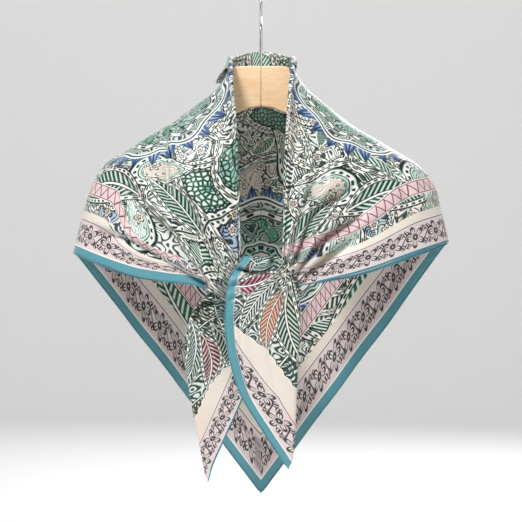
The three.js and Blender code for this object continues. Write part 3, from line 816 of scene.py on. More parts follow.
def hanger_shape(sign):
    def shape(u, v):
        across = np.interp(u, np.linspace(0, 1, 11), HANGER["across"])
        row = {key: np.interp(across, HANGER["across"], values) for key, values in HANGER.items()}
        across = np.maximum(across, 0.15)
        quarter = np.minimum((v * 4).astype(int), 3)
        step = v * 4 - quarter
        turn = np.radians(quarter * 90 + np.clip((step - 0.1) / 0.8, 0, 1) * 90)
        outward = np.where((quarter == 0) | (quarter == 3), 1, -1)
        upward = np.where(quarter < 2, 1, -1)
        half_thick = row["thick"] / 2 - row["edge"]
        half_high = (row["top"] - row["foot"]) / 2 - row["edge"]
        y = outward * half_thick + row["edge"] * np.cos(turn)
        z = (row["top"] + row["foot"]) / 2 + upward * half_high + row["edge"] * np.sin(turn)
        place = np.stack([sign * across, y, z], -1)
        uv = np.stack([across * MM, v], -1)
        return place, {"print": uv}

    return shape


def hook_path():
    centre = HOOK_REST_UP - HOOK["bend"] + HOOK["wire"]
    foot = HANGER["top"][0] - HOOK["sunk"] + 0.3
    start = centre - HOOK["curl"]
    points = [(0, 0, z) for z in np.linspace(foot, start, 12)]
    for share in np.linspace(0, 1, 16)[1:-1]:
        points.append((0, HOOK["bend"] * float(ease(0, 1, share)), mix(start, centre, share)))
    for turn in np.radians(np.linspace(0, 180 + HOOK["tip"], 60)):
        points.append((0, HOOK["bend"] * math.cos(turn), centre + HOOK["bend"] * math.sin(turn)))
    return LengthCurve(points).at(np.linspace(0, 1, 240))


class SCARF_OT_hanger(bpy.types.Operator):
    """Make the two glued wooden halves and the steel hook"""

    bl_idname = "scarf.hanger"
    bl_label = "Hanger"

    def execute(self, context):
        wood = hanger_wood()
        for name, sign in (("left", -1), ("right", 1)):
            half = grid_piece(f"hanger_wood_{name}", 160, 48, hanger_shape(sign), closed=True)
            finish_piece(half, wood, "wood", f"hanger_{name}")
        hook = grid_piece("hanger_hook_wire", 300, 20, tube_shape(hook_path(), HOOK["wire"]), closed=True)
        finish_piece(hook, hook_steel(), "steel", "hanger_hook")
        return {"FINISHED"}


# Materials.


def dye(code):
    """A colour by its name in the panel, or by its code."""
    if code in ScarfColours.__annotations__:
        return tuple(getattr(bpy.context.scene.scarf_colours, code))
    return tone(code)


def new_material(name):
    material = bpy.data.materials.new(name)
    material.use_nodes = True
    shader = material.node_tree.nodes["Principled BSDF"]
    return material, material.node_tree, shader


class Field:
    """A number that varies over a piece, as a maths node's output."""

    def __init__(self, tree, socket):
        self.tree, self.socket = tree, socket

    def sum(self, operation, *others, clamp=False):
        node = self.tree.nodes.new("ShaderNodeMath")
        node.operation = operation
        node.use_clamp = clamp
        for place, value in zip(node.inputs, (self, *others)):
            if isinstance(value, Field):
                self.tree.links.new(value.socket, place)
            else:
                place.default_value = value
        return Field(self.tree, node.outputs[0])

    def __add__(self, other):
        return self.sum("ADD", other)

    def __sub__(self, other):
        return self.sum("SUBTRACT", other)

    def __mul__(self, other):
        return self.sum("MULTIPLY", other)

    def __truediv__(self, other):
        return self.sum("DIVIDE", other)

    def scaled(self, by, plus):
        return self.sum("MULTIPLY_ADD", by, plus)

    def size(self):
        return self.sum("ABSOLUTE")

    def below(self, limit, blur=0.0005):
        """1 where the number is below the limit, and 0 above it."""
        return self.sum("MULTIPLY_ADD", -1 / blur, limit / blur + 0.5, clamp=True)

    def above(self, limit, blur=0.0005):
        return self.sum("MULTIPLY_ADD", 1 / blur, 0.5 - limit / blur, clamp=True)

    def near(self, place, half, blur=0.0005):
        return (self - place).size().below(half, blur)


class Painter:
    """Lays colours over one another, each where its own field says."""

    def __init__(self, material_name):
        self.material, self.tree, self.shader = new_material(material_name)
        self.colour = None

    def node(self, kind, **settings):
        node = self.tree.nodes.new(kind)
        for key, value in settings.items():
            setattr(node, key, value)
        return node

    def map(self, name):
        return self.node("ShaderNodeUVMap", uv_map=name).outputs["UV"]

    def object_place(self):
        return self.node("ShaderNodeTexCoord").outputs["Object"]

    def split(self, vector):
        node = self.node("ShaderNodeSeparateXYZ")
        self.tree.links.new(vector, node.inputs[0])
        return Field(self.tree, node.outputs[0]), Field(self.tree, node.outputs[1])

    def vector(self, operation, *values):
        node = self.node("ShaderNodeVectorMath", operation=operation)
        for place, value in zip(node.inputs, values):
            if isinstance(value, tuple):
                place.default_value = value
            else:
                self.tree.links.new(value.socket if isinstance(value, Field) else value, place)
        return node.outputs["Value"] if operation in ("LENGTH", "DISTANCE", "DOT_PRODUCT") else node.outputs[0]

    def placed(self, vector, centre, turn=0.0, size=(1.0, 1.0)):
        """The same vector, seen from a motif's centre, turned with it and in its own sizes."""
        node = self.node("ShaderNodeMapping", vector_type="TEXTURE")
        node.inputs["Location"].default_value = (*centre, 0)
        node.inputs["Rotation"].default_value = (0, 0, math.radians(turn))
        node.inputs["Scale"].default_value = (*size, 1)
        self.tree.links.new(vector, node.inputs["Vector"])
        return node.outputs[0]

    def turned(self, vector, angle):
        """The same vector, turned by an angle that varies."""
        node = self.node("ShaderNodeVectorRotate", rotation_type="Z_AXIS")
        self.tree.links.new(vector, node.inputs["Vector"])
        self.tree.links.new(angle.socket, node.inputs["Angle"])
        return node.outputs[0]

    def joined(self, x, y):
        node = self.node("ShaderNodeCombineXYZ")
        self.tree.links.new(x.socket, node.inputs[0])
        self.tree.links.new(y.socket, node.inputs[1])
        return node.outputs[0]

    def noise(self, vector, scale, detail=1.0, roughness=0.5, flat=True):
        node = self.node("ShaderNodeTexNoise", noise_dimensions="2D" if flat else "3D")
        node.inputs["Scale"].default_value = scale
        node.inputs["Detail"].default_value = detail
        node.inputs["Roughness"].default_value = roughness
        self.tree.links.new(vector, node.inputs["Vector"])
        return Field(self.tree, node.outputs[0]), node.outputs[1]

    def cells(self, vector, scale, feature="F1", randomness=1.0):
        node = self.node("ShaderNodeTexVoronoi", voronoi_dimensions="2D", feature=feature)
        node.inputs["Scale"].default_value = scale
        node.inputs["Randomness"].default_value = randomness
        self.tree.links.new(vector, node.inputs["Vector"])
        return node

    def warped(self, vector, scale, amount):
        _, colour = self.noise(vector, scale)
        return self.vector("MULTIPLY_ADD", colour, (amount, amount, 0), vector)

    def ramp(self, field, stops, smooth=True):
        """Colours by a field that runs from 0 to 1."""
        node = self.node("ShaderNodeValToRGB")
        node.color_ramp.interpolation = "LINEAR" if smooth else "CONSTANT"
        elements = node.color_ramp.elements
        while len(elements) > 1:
            elements.remove(elements[-1])
        for index, (place, code) in enumerate(stops):
            element = elements[0] if index == 0 else elements.new(place)
            element.position = place
            element.color = (*dye(code), 1)
        self.tree.links.new(field.socket, node.inputs[0])
        return node.outputs[0]

    def bands(self, field, edges, span, blur):
        """A ramp of flat bands: edges are (where a band ends, its colour), in the field's own units."""
        stops = []
        start = 0
        for end, code in edges:
            stops += [((start + blur / 2) / span if start else 0, code), (min((end - blur / 2) / span, 1), code)]
            start = end
        return self.ramp(field * (1 / span), stops)

    def blend(self, under, over, mask):
        node = self.node("ShaderNodeMix", data_type="RGBA")
        self.tree.links.new(mask.socket, node.inputs["Factor"])
        for place, value in ((node.inputs[6], under), (node.inputs[7], over)):
            if isinstance(value, str):
                place.default_value = (*dye(value), 1)
            else:
                self.tree.links.new(value, place)
        return node.outputs[2]

    def paint(self, over, mask):
        self.colour = self.blend(self.colour, over, mask)

    def nearest(self, vectors):
        """Of several motifs' vectors, the one whose centre is nearest in its own sizes, with its number."""
        best = vectors[0]
        away = Field(self.tree, self.vector("LENGTH", best))
        number = None
        for index, vector in enumerate(vectors[1:], 1):
            here = Field(self.tree, self.vector("LENGTH", vector))
            nearer = here.sum("LESS_THAN", away)
            node = self.node("ShaderNodeMix", data_type="VECTOR")
            self.tree.links.new(nearer.socket, node.inputs["Factor"])
            self.tree.links.new(best, node.inputs[4])
            self.tree.links.new(vector, node.inputs[5])
            best = node.outputs[1]
            if number is None:
                number = nearer * index
            else:
                number = number.sum("MAXIMUM", nearer * index)
            away = away.sum("MINIMUM", here)
        return best, number

    def finish(self, roughness, sheen, weave=None, wrinkles=None):
        shader, links = self.shader, self.tree.links
        contrast = self.node("ShaderNodeGamma")
        contrast.inputs["Gamma"].default_value = PRINT_CONTRAST
        links.new(self.colour, contrast.inputs["Color"])
        links.new(contrast.outputs[0], shader.inputs["Base Color"])
        shader.inputs["Sheen Weight"].default_value = sheen
        shader.inputs["Sheen Roughness"].default_value = 0.35
        shader.inputs["Specular IOR Level"].default_value = 0.45
        place = self.object_place()
        soft, _ = self.noise(place, 26, 2.0, flat=False)
        links.new(soft.scaled(0.16, roughness - 0.08).socket, shader.inputs["Roughness"])
        fine, _ = self.noise(place, 90, 2.0, 0.6, flat=False)
        height = soft * 1.0 + fine * 0.35
        if weave is not None:
            height = height + weave
        bump = self.node("ShaderNodeBump")
        bump.inputs["Strength"].default_value = 0.35
        bump.inputs["Distance"].default_value = 0.004
        links.new(height.socket, bump.inputs["Height"])
        links.new(bump.outputs[0], shader.inputs["Normal"])
        return self.material


DARK, WHITE, CREAM, MINT, PALE = "line", "white", "cream", "mint", "pale"
GREEN, BLUE, TEAL, PINK, WOOD, STEEL = "green", "blue", "teal", "pink", "wood", "steel"
PRINT_CONTRAST = 1.22
INK_GREEN = "1F4A40"
PEACH = "E6D6CA"
PALE_BLUE = "A4BCD2"
DEEP_BLUE = "223557"
MAROON = "8A4B5A"


def border_colours(paint, distance, along):
    """The border: teal edge, light line, pink band with leaf sprigs, dark line and cream strip."""
    edges = [
        (0.0094, TEAL),
        (0.0108, WHITE),
        (0.0412, PINK),
        (0.0421, DARK),
        (0.0428, WHITE),
        (0.052, CREAM),
    ]
    strip = paint.bands(distance, edges, 0.052, 0.0004)
    column = along.sum("WRAP", 0.016, -0.016)
    row = distance - 0.0258
    angle = row.sum("ARCTAN2", column)
    away = (column * column + row * row).sum("SQRT")
    petal = (angle * 2.5).sum("COSINE").size()
    girth = away / petal.scaled(0.75, 0.3)
    outline = girth.near(0.0114, 0.0015, 0.0006)
    veins = (angle * 10).sum("SINE").size().below(0.62, 0.3) * girth.near(0.0068, 0.0036, 0.0008)
    heart = away.near(0.0024, 0.0015, 0.0006)
    wave = (along * 196.35).sum("SINE")
    stem = (distance - wave.scaled(0.0064, 0.0258)).size().below(0.0012, 0.0006)
    stem = stem * girth.above(0.011, 0.0006)
    # leaves on both sides of the stem, between the blossoms
    column = (along + 0.016).sum("WRAP", 0.016, -0.016)
    leaf = (row.size() - 0.0075).size() * 1.5 + (column.size() - 0.0035).size()
    leaves = leaf.below(0.0052, 0.0008) * (column.size() * 1500 + row.size() * 1100).sum("SINE").above(-0.3, 0.5)
    leaves = leaves.sum("MAXIMUM", leaf.near(0.0054, 0.0007, 0.0006)) * girth.above(0.0128, 0.0006)
    lines = outline.sum("MAXIMUM", veins * 0.85).sum("MAXIMUM", heart).sum("MAXIMUM", stem)
    lines = lines.sum("MAXIMUM", leaves) * distance.near(0.026, 0.0142, 0.0006)
    strip = paint.blend(strip, "FBF0EC", girth.below(0.0104, 0.0006) * distance.near(0.026, 0.0142, 0.0006) * 0.7)
    return paint.blend(strip, DARK, lines * 0.92)


def frond_colours(paint, vector, fills, number, ribs=0.062):
    """A ribbed leaf in its own sizes: x runs from -1 to 1 along it, and y across it."""
    x, y = paint.split(vector)
    square = x * x
    across = (y + square.scaled(0.55, -0.2)).size()
    edge = across + square
    rib = (across * 0.4 - x).sum("PINGPONG", ribs).below(ribs * 0.57, 0.02)
    colour = paint.blend(fills[0], fills[1], rib)
    if number is not None:
        other = paint.blend(fills[2], fills[3], rib)
        colour = paint.blend(colour, other, number.sum("WRAP", 2, 0).above(0.5, 0.2))
    colour = paint.blend(colour, DARK, across.below(0.11, 0.03))
    colour = paint.blend(colour, WHITE, across.below(0.055, 0.03))
    colour = paint.blend(colour, WHITE, edge.above(0.72, 0.03))
    colour = paint.blend(colour, DARK, edge.near(0.745, 0.032, 0.03))
    dots = (x * 38).sum("SINE").above(-0.1, 0.5) * edge.near(0.87, 0.05, 0.03)
    colour = paint.blend(colour, INK_GREEN, dots)
    colour = paint.blend(colour, DARK, edge.above(0.95, 0.02))
    return colour, edge.below(1.02, 0.02)


def drop_colours(paint, vector, inner):
    """A curved drop in its own sizes, with ringed edges."""
    x, y = paint.split(vector)
    bent = x - (y.sum("MAXIMUM", 0.0) * y) * 0.45
    width = y.scaled(-0.52, 0.62).sum("MAXIMUM", 0.06)
    across = (bent / width) * 0.8
    away = (across * across + y * y).sum("SQRT")
    ring = paint.bands(
        away,
        [(0.56, WHITE), (0.585, DARK), (0.66, MINT), (0.70, DEEP_BLUE), (0.86, WHITE), (0.90, MINT), (1.0, DARK)],
        1.0,
        0.012,
    )
    spin = across.sum("ARCTAN2", y)
    dots = (spin * 17).sum("SINE").above(0.0, 0.5) * away.near(0.78, 0.045, 0.03)
    colour = paint.blend(ring, DARK, dots)
    colour = paint.blend(colour, inner, away.below(0.555, 0.015))
    return colour, away.below(1.0, 0.02)


def cape_silk():
    material = bpy.data.materials.get("printed_silk_cape")
    if material:
        return material
    paint = Painter("printed_silk_cape")
    place = paint.map("print")
    along, distance = paint.split(paint.map("border"))
    curled = paint.warped(place, 9.0, 0.05)
    stretched = paint.placed(curled, (0.0, 0.0), 28, (1.0, 0.62))
    zones = paint.cells(stretched, 18.5)
    edge = Field(paint.tree, paint.cells(stretched, 18.5, "DISTANCE_TO_EDGE").outputs["Distance"])
    kind, shade = paint.split(zones.outputs["Color"])
    local = paint.vector("SUBTRACT", stretched, zones.outputs["Position"])

    # grounds of the zones
    paint.colour = paint.ramp(
        shade,
        [(0, "E9EEE9"), (0.15, "CFDFD9"), (0.28, CREAM), (0.4, "DCE5E1"), (0.52, "AEC6C2"), (0.62, "F1F2EC"),
         (0.74, "B4C6DA"), (0.83, "8DB7A2"), (0.91, "DFD3CC")],
        smooth=False,
    )
    wash, _ = paint.noise(place, 30, 2.0)
    paint.paint("F1F2EA", wash.above(0.56, 0.14) * 0.5)

    # scrolls, lines that follow one another
    scroll, _ = paint.noise(place, 52, 0.8)
    scrolls = scroll.sum("PINGPONG", 0.06).below(0.024, 0.012)
    inks = paint.ramp(
        shade, [(0, DARK), (0.2, "2F4A48"), (0.4, "3A3836"), (0.52, "1F3B4C"), (0.7, DARK), (0.85, "2C4A3C")], smooth=False
    )
    paint.paint(inks, scrolls * kind.below(0.54, 0.02) * 0.92)
    # small leaves strewn over the zones, each turned its own way
    strewn = paint.cells(curled, 40, "F1", 0.85)
    toss, dye = paint.split(strewn.outputs["Color"])
    leaf = paint.turned(paint.vector("SUBTRACT", curled, strewn.outputs["Position"]), toss * 6.283)
    lx, ly = paint.split(leaf)
    leaf_edge = (lx * 78).sum("POWER", 2.0) + (ly * 190).size()
    paint.paint("F4F4EC", leaf_edge.below(1.25, 0.08) * dye.above(0.35, 0.02))
    veins = (lx + ly.size() * 0.8).sum("PINGPONG", 0.0013).below(0.0005, 0.0003)
    leaf_dye = paint.ramp(
        dye, [(0, "1F6A4F"), (0.5, "25466E"), (0.62, "1E262B"), (0.78, "2E7F60"), (0.9, "7B4252")], smooth=False
    )
    leaf_dye = paint.blend(leaf_dye, "DDE9E2", veins * 0.75)
    paint.paint(leaf_dye, leaf_edge.below(0.95, 0.06) * dye.above(0.35, 0.02))
    # pebbles
    pebble = Field(paint.tree, paint.cells(place, 190, "DISTANCE_TO_EDGE", 0.85).outputs["Distance"])
    pebbles = kind.near(0.6, 0.08, 0.02)
    paint.paint("7FB39C", pebbles * pebble.below(0.26, 0.12))
    paint.paint("1C3A36", pebbles * pebble.below(0.13, 0.06))
    # ribbed leaves round the middle of each zone
    x, y = paint.split(paint.placed(local, (0, 0), 40))
    feather = (x.size() * 0.8 + y).sum("PINGPONG", 0.0029)
    feathers = kind.above(0.68, 0.02)
    dyed = paint.ramp(shade, [(0, "1F5746"), (0.35, "2E3A40"), (0.55, "2A7A5A"), (0.8, "4C3540")], smooth=False)
    paint.paint(dyed, feathers)
    paint.paint("E4EFE6", feathers * feather.below(0.0013, 0.0006))
    paint.paint("F1F2EA", feathers * x.size().below(0.0009))
    # zone edges, scalloped, with a dotted band
    lx, ly = paint.split(local)
    around = ly.sum("ARCTAN2", lx)
    scallop = edge - (around * 6).sum("SINE").size() * 0.035
    paint.paint("F1F2EA", scallop.below(0.085, 0.015))
    paint.paint(DARK, scallop.near(0.09, 0.018, 0.012))
    paint.paint(DARK, scallop.near(0.145, 0.01, 0.012))
    paint.paint(INK_GREEN, (around * 22).sum("SINE").above(0.0, 0.5) * edge.near(0.047, 0.02, 0.01))
    paint.paint(DARK, edge.below(0.016, 0.012))

    # small flowers
    petals = paint.cells(place, 44, "F1", 0.7)
    px, py = paint.split(paint.vector("SUBTRACT", place, petals.outputs["Position"]))
    girth = (px * px + py * py).sum("SQRT") / (py.sum("ARCTAN2", px) * 5).sum("COSINE").scaled(0.26, 1)
    flower = girth.below(0.0056)
    flowers = paint.blend(CREAM, WHITE, wash.above(0.5, 0.1))
    flowers = paint.blend(flowers, DARK, girth.near(0.005, 0.0007) + girth.near(0.002, 0.0006))
    flowers = paint.blend(flowers, "C7B79A", girth.below(0.0013))
    paint.paint(flowers, flower * kind.near(0.36, 0.16, 0.02))

    # leaves and drops, set a little apart on the two halves
    fold_x, fold_y = paint.split(place)
    half = paint.joined(fold_x.size(), fold_y)
    shift = fold_x.below(0.0, 0.0001)
    moved = paint.joined(fold_x.size() + shift * 0.034, fold_y - shift * 0.03)

    drops = [
        paint.placed(moved, centre, turn, (size * 0.72, size))
        for centre, turn, size in DROPS
    ]
    vector, number = paint.nearest(drops)
    inner = paint.blend(CREAM, "DCE8E2", number.sum("WRAP", 2, 0).above(0.5, 0.2))
    inner = paint.blend(inner, "55605C", scroll.sum("PINGPONG", 0.04).below(0.009, 0.006) * 0.8)
    inner = paint.blend(inner, flowers, flower)
    colour, mask = drop_colours(paint, vector, inner)
    paint.paint(colour, mask)

    fronds = [paint.placed(moved, centre, turn, size) for centre, turn, size in FRONDS]
    vector, number = paint.nearest(fronds)
    colour, mask = frond_colours(paint, vector, ("E3EEE8", "1E6B4E", "C9DDD3", "174638"), number)
    paint.paint(colour, mask)

    # medallions: one on each half, a larger one behind
    behind = (fold_y - fold_x.size()).above(0.14, 0.002)
    node = paint.node("ShaderNodeMix", data_type="VECTOR")
    paint.tree.links.new(behind.socket, node.inputs["Factor"])
    paint.tree.links.new(paint.placed(half, (0.13, 0.082), 14, (0.094, 0.094)), node.inputs[4])
    paint.tree.links.new(paint.placed(half, (0.0, 0.27), 0, (0.098, 0.098)), node.inputs[5])
    mx, my = paint.split(node.outputs[1])
    angle = my.sum("ARCTAN2", mx)
    away = (mx * mx + my * my).sum("SQRT")
    lobed = away / (angle * 8).sum("COSINE").scaled(0.045, 1)
    # fan of blue leaves round it
    reach = (away - 0.8) * 5
    leaf = (angle * 13 / math.pi).sum("PINGPONG", 0.5)
    fan = (leaf + reach * 0.46).below(0.46, 0.05) * away.above(0.78, 0.01)
    blues = paint.blend(PALE_BLUE, BLUE, (leaf + reach * 0.3).near(0.3, 0.09, 0.08))
    blues = paint.blend(blues, DEEP_BLUE, leaf.below(0.05, 0.05))
    paint.paint(blues, fan)
    # rings
    rings = paint.bands(
        lobed,
        [
            (0.1, CREAM), (0.12, DARK), (0.2, MINT), (0.22, DARK), (0.24, WHITE), (0.555, "BCD2CA"), (0.575, DARK),
            (0.635, WHITE), (0.65, DARK), (0.745, "CBDAD4"), (0.765, WHITE), (0.79, DEEP_BLUE), (0.82, WHITE),
        ],
        0.82,
        0.006,
    )
    scrolled = lobed.near(0.4, 0.15, 0.01) + lobed.near(0.695, 0.04, 0.01)
    rings = paint.blend(rings, DARK, scroll.sum("PINGPONG", 0.055).below(0.026, 0.01) * scrolled * 0.9)
    petal = (angle * 4).sum("COSINE").size()
    rings = paint.blend(rings, GREEN, (petal * 0.17 - lobed).above(-0.02, 0.02) * lobed.above(0.13, 0.01))
    spray = (angle * 4 + lobed * 9).sum("SINE").size() - (lobed - 0.4).size() * 4
    sprays = paint.blend(GREEN, "BFDCCB", scroll.sum("PINGPONG", 0.03).below(0.012, 0.008) * 0.8)
    rings = paint.blend(rings, sprays, spray.above(0.55, 0.08) * wash.above(0.47, 0.06))
    rings = paint.blend(rings, INK_GREEN, spray.near(0.5, 0.05, 0.06))
    beads = (angle * 22).sum("SINE").above(0.0, 0.5) * lobed.near(0.605, 0.019, 0.008)
    beads = beads + (angle * 16).sum("SINE").above(0.2, 0.5) * lobed.near(0.165, 0.025, 0.01)
    rings = paint.blend(rings, DARK, beads)
    paint.paint(rings, lobed.below(0.815, 0.01))

    # ribbon with a zigzag, parallel to the hem
    zig = (along.sum("PINGPONG", 0.006) * (0.012 / 0.006) - (distance - 0.0745)).size().below(0.0014, 0.0006)
    ribbon = paint.blend("E8D2D2", MAROON, zig)
    ribbon = paint.blend(ribbon, MAROON, distance.near(0.0805, 0.0068, 0.0005).scaled(-1, 1))
    paint.paint(WHITE, distance.near(0.0805, 0.0088))
    paint.paint(ribbon, distance.near(0.0805, 0.0078))

    # border
    paint.paint(border_colours(paint, distance, along), distance.below(0.052, 0.0005))
    return paint.finish(0.4, 0.2)


# Drops and leaves on each half of the print: centre, turn in degrees, size.
DROPS = [
    ((0.268, 0.042), 200, 0.036),
    ((0.232, 0.158), -35, 0.038),
    ((0.045, 0.135), 160, 0.046),
    ((0.156, 0.245), 20, 0.042),
    ((0.078, 0.44), -150, 0.048),
    ((0.318, 0.075), 100, 0.03),
]
FRONDS = [
    ((0.215, 0.085), 62, (0.056, 0.018)),
    ((0.266, 0.108), 118, (0.058, 0.021)),
    ((0.112, 0.202), -24, (0.066, 0.023)),
    ((0.31, 0.032), 150, (0.045, 0.014)),
    ((0.105, 0.335), -58, (0.07, 0.024)),
    ((0.035, 0.47), 70, (0.06, 0.022)),
    ((0.186, 0.205), 80, (0.046, 0.017)),
]


def tail_silk(name, leaves, fills, narrow):
    """The print of a tail: ribbed leaves over fine lines, with the border along its hem."""
    paint = Painter(name)
    place = paint.map("print")
    distance, along = paint.split(paint.map("border"))
    curled = paint.warped(place, 14.0, 0.03)
    zones = paint.cells(curled, 34)
    edge = Field(paint.tree, paint.cells(curled, 34, "DISTANCE_TO_EDGE").outputs["Distance"])
    kind, shade = paint.split(zones.outputs["Color"])
    paint.colour = paint.ramp(
        shade, [(0, "DCE6E1"), (0.3, "D9D5C8"), (0.5, "A9C3BA"), (0.7, "E8ECE6"), (0.85, "B9C8C4")], smooth=False
    )
    scroll, _ = paint.noise(place, 52, 0.6)
    scrolls = scroll.sum("PINGPONG", 0.055).below(0.03, 0.012)
    paint.paint(DARK, scrolls * 0.92)
    ribs = (distance * 0.5 + along).sum("PINGPONG", 0.003).below(0.0015)
    paint.paint(INK_GREEN, ribs * kind.above(0.55, 0.02) * 0.9)
    paint.paint("E9EDE8", edge.below(0.022, 0.012))
    paint.paint(DARK, edge.near(0.036, 0.014, 0.012))
    for (centre, turn, size), (first, second) in zip(leaves, fills):
        vector = paint.placed(place, centre, turn, size)
        rib = 0.0026 + 0.00012 * (size[1] / 0.001 - 10) * (size[1] > 0.01)
        colour, mask = frond_colours(paint, vector, (first, second), None, ribs=rib / size[0])
        paint.paint(colour, mask)
    # the plain corner beside the border, with a scalloped edge
    wave = (along * 260).sum("SINE").size() * 0.0026
    start, full, slope, widest = narrow
    reach = 0.042
    limit = (along - start) * (reach / (full - start))
    limit = limit.sum("MINIMUM", reach).sum("MAXIMUM", 0.0)
    width = ((along - start) * slope).sum("MINIMUM", widest).sum("MAXIMUM", -0.01)
    inland = distance - limit - wave - width
    paint.paint(DARK, inland.below(0.0022, 0.0006) * along.above(start, 0.001))
    paint.paint(WHITE, inland.below(0.0012, 0.0006) * along.above(start, 0.001))
    plain = paint.blend(CREAM, PEACH, (along * 30).sum("SINE").above(0.1, 0.9) * 0.6)
    paint.paint(plain, inland.below(0.0, 0.0006) * along.above(start, 0.001))
    # border, hidden at the top where the hem curls over it
    shown = distance + (limit * -1 + reach).sum("MAXIMUM", 0.0) * distance.above(0.0098, 0.0004)
    paint.paint(border_colours(paint, shown, along), shown.below(0.0428, 0.0005))
    return paint


def front_tail_silk():
    paint = tail_silk(
        "printed_silk_front_tail",
        [
            ((0.068, 0.060), 61, (0.028, 0.0075)),
            ((0.075, 0.114), 80, (0.058, 0.0165)),
            ((0.053, 0.104), 107, (0.044, 0.012)),
            ((0.031, 0.062), -19, (0.027, 0.0135)),
            ((0.038, 0.083), 125, (0.044, 0.0115)),
        ],
        [("EEF1EA", "1F2A2A"), ("D3E0D4", "123A2E"), ("E8CCBE", "A66A56"), ("E2BCC6", "84384F"), ("E9EEE8", "22282E")],
        (0.106, 0.196, 0.8, 0.027),
    )
    return paint.finish(0.42, 0.2)


def rear_tail_silk():
    paint = tail_silk(
        "printed_silk_rear_tail",
        [
            ((0.076, 0.104), 94, (0.052, 0.0115)),
            ((0.042, 0.088), 118, (0.032, 0.0115)),
            ((0.057, 0.104), 112, (0.038, 0.0125)),
        ],
        [("D6E2DC", "2B4A48"), ("C9D3C8", "27352F"), ("E6D0D0", "6E2C40")],
        (0.125, 0.150, 0.45, 0.022),
    )
    return paint.finish(0.42, 0.2)


def hem_silk():
    material = bpy.data.materials.get("rolled_hem_silk")
    if material:
        return material
    paint = Painter("rolled_hem_silk")
    along, around = paint.split(paint.map("border"))
    wash, _ = paint.noise(paint.object_place(), 60, 2.0, flat=False)
    paint.colour = paint.ramp(wash, [(0.3, "478796"), (0.7, TEAL)])
    stitch = along.sum("PINGPONG", 0.002).below(0.00025, 0.0003) * around.near(0.0035, 0.0012, 0.0006)
    paint.paint("2E6C7C", stitch)
    return paint.finish(0.45, 0.2)


def hanger_wood():
    paint = Painter("beech")
    place = paint.object_place()
    turned = paint.node("ShaderNodeMapping")
    turned.inputs["Scale"].default_value = (26, 60, 170)
    turned.inputs["Rotation"].default_value = (0, math.radians(14), 0)
    paint.tree.links.new(place, turned.inputs["Vector"])
    grain, _ = paint.noise(turned.outputs[0], 1.0, 4.0, 0.6, flat=False)
    fine = paint.node("ShaderNodeMapping")
    fine.inputs["Scale"].default_value = (90, 300, 900)
    fine.inputs["Rotation"].default_value = (0, math.radians(14), 0)
    paint.tree.links.new(place, fine.inputs["Vector"])
    fleck, _ = paint.noise(fine.outputs[0], 1.0, 2.0, 0.6, flat=False)
    paint.colour = paint.ramp(grain, [(0.25, "F3C592"), (0.5, WOOD), (0.75, "FFE2BE")])
    paint.paint("D9A36B", fleck.below(0.36, 0.12) * 0.4)
    shader = paint.shader
    paint.tree.links.new(paint.colour, shader.inputs["Base Color"])
    paint.tree.links.new(fleck.scaled(0.15, 0.34).socket, shader.inputs["Roughness"])
    shader.inputs["Coat Weight"].default_value = 0.25
    shader.inputs["Coat Roughness"].default_value = 0.2
    bump = paint.node("ShaderNodeBump")
    bump.inputs["Strength"].default_value = 0.15
    bump.inputs["Distance"].default_value = 0.001
    paint.tree.links.new(fleck.socket, bump.inputs["Height"])
    paint.tree.links.new(bump.outputs[0], shader.inputs["Normal"])
    return paint.material


def hook_steel():
    paint = Painter("polished_steel")
    place = paint.object_place()
    scuff, _ = paint.noise(place, 40, 2.0, flat=False)
    paint.tree.links.new(scuff.scaled(0.1, 0.16).socket, paint.shader.inputs["Roughness"])
    paint.colour = paint.ramp(scuff, [(0.3, "C4C7CA"), (0.7, STEEL)])
    paint.tree.links.new(paint.colour, paint.shader.inputs["Base Color"])
    paint.shader.inputs["Metallic"].default_value = 1
    return paint.material


# The stage.


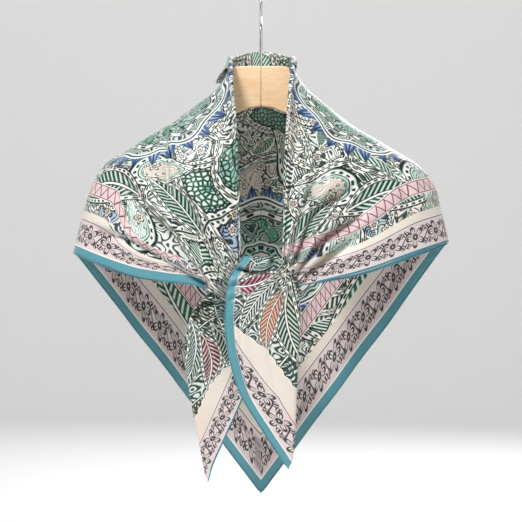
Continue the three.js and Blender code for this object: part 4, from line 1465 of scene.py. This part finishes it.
class SCARF_OT_stage(bpy.types.Operator):
    """Make the pale floor that curves up behind, the soft lights and the camera"""

    bl_idname = "scarf.stage"
    bl_label = "Stage"

    def execute(self, context):
        stage = context.scene.scarf_stage
        # a round floor that curves up into a wall, wide enough for a camera on any side
        flat, bend, high = 3.4, 1.3, 3.6
        rim = [(0, 0, 0), (flat, 0, 0)]
        rim += [
            (flat + bend * math.sin(turn), 0, bend * (1 - math.cos(turn)))
            for turn in np.linspace(0, math.pi / 2, 17)[1:]
        ]
        rim.append((flat + bend, 0, high))
        bm = bmesh.new()
        verts = [bm.verts.new((x, y, z - stage.floor_drop)) for x, y, z in rim]
        edges = [bm.edges.new(pair) for pair in zip(verts, verts[1:])]
        bmesh.ops.spin(bm, geom=verts + edges, axis=(0, 0, 1), steps=96, angle=2 * math.pi, use_merge=True)
        bmesh.ops.remove_doubles(bm, verts=bm.verts, dist=0.0001)
        bmesh.ops.recalc_face_normals(bm, faces=bm.faces)
        bmesh.ops.reverse_faces(bm, faces=bm.faces)
        floor = mesh_piece("floor", bm)
        material, tree, shader = new_material("pale_floor")
        shader.inputs["Base Color"].default_value = (0.84, 0.84, 0.83, 1)
        shader.inputs["Roughness"].default_value = 0.8
        floor.data.materials.append(material)

        world = bpy.data.worlds.new("Studio")
        context.scene.world = world
        world.use_nodes = True
        world.node_tree.nodes["Background"].inputs["Color"].default_value = (0.95, 0.97, 1, 1)
        world.node_tree.nodes["Background"].inputs["Strength"].default_value = 0.3
        lamps = (
            ("key", (-0.9, -1.9, 1.7), (0, 0, -0.3), 0.7, 64),
            ("fill", (1.8, -1.8, 0.0), (0, 0, -0.3), 1.4, 6),
            ("top", (0.2, 0.5, 1.6), (0, 0, -0.3), 1.2, 12),
            ("back", (0.6, 2.2, 0.9), (0, 0, -0.3), 1.4, 24),
            ("wall", (0, 1.8, 2.2), (0, 4.7, 0), 1.6, 30),
        )
        for name, place, aim, size, power in lamps:
            light = bpy.data.lights.new(name, "AREA")
            light.shape = "DISK"
            light.size = size
            light.energy = power
            lamp = bpy.data.objects.new(name, light)
            lamp.location = place
            lamp.rotation_euler = (Vector(aim) - Vector(place)).to_track_quat("-Z", "Y").to_euler()
            lamp.visible_camera = False
            context.scene.collection.objects.link(lamp)

        camera = bpy.data.cameras.new("camera")
        camera.sensor_fit = "HORIZONTAL"
        camera.angle = 2 * math.atan(stage.field / 2 / stage.camera_away)
        camera.clip_end = 30
        view = bpy.data.objects.new("camera", camera)
        view.location = (0, -stage.camera_away, -HOOK_REST_UP * MM)
        view.rotation_euler = (math.pi / 2, 0, 0)
        context.scene.collection.objects.link(view)
        context.scene.camera = view
        context.scene.view_settings.view_transform = "Standard"
        return {"FINISHED"}


class SCARF_PT_panel(bpy.types.Panel):
    """Buttons for each group of pieces, with their sizes"""

    bl_label = "Silk square"
    bl_idname = "SCARF_PT_panel"
    bl_space_type = "VIEW_3D"
    bl_region_type = "UI"
    bl_category = "Scarf"

    def draw(self, context):
        layout = self.layout
        for operator in OPERATORS:
            layout.operator(operator.bl_idname)
        for label, kind in GROUPS.items():
            for name in kind.__annotations__:
                layout.prop(getattr(context.scene, label), name)


GROUPS = {"scarf_sizes": ScarfSizes, "scarf_colours": ScarfColours, "scarf_stage": StageSettings}
OPERATORS = (SCARF_OT_hanger, SCARF_OT_cape, SCARF_OT_knot, SCARF_OT_tails, SCARF_OT_stage)
CLASSES = (*GROUPS.values(), *OPERATORS, SCARF_PT_panel)


def register():
    for cls in CLASSES:
        bpy.utils.register_class(cls)
    for name, group in GROUPS.items():
        setattr(bpy.types.Scene, name, PointerProperty(type=group))


def unregister():
    for name in GROUPS:
        delattr(bpy.types.Scene, name)
    for cls in reversed(CLASSES):
        bpy.utils.unregister_class(cls)


def main():
    register()
    for operator in OPERATORS:
        group, name = operator.bl_idname.split(".")
        getattr(getattr(bpy.ops, group), name)()
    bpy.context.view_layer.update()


if __name__ == "__main__":
    main()
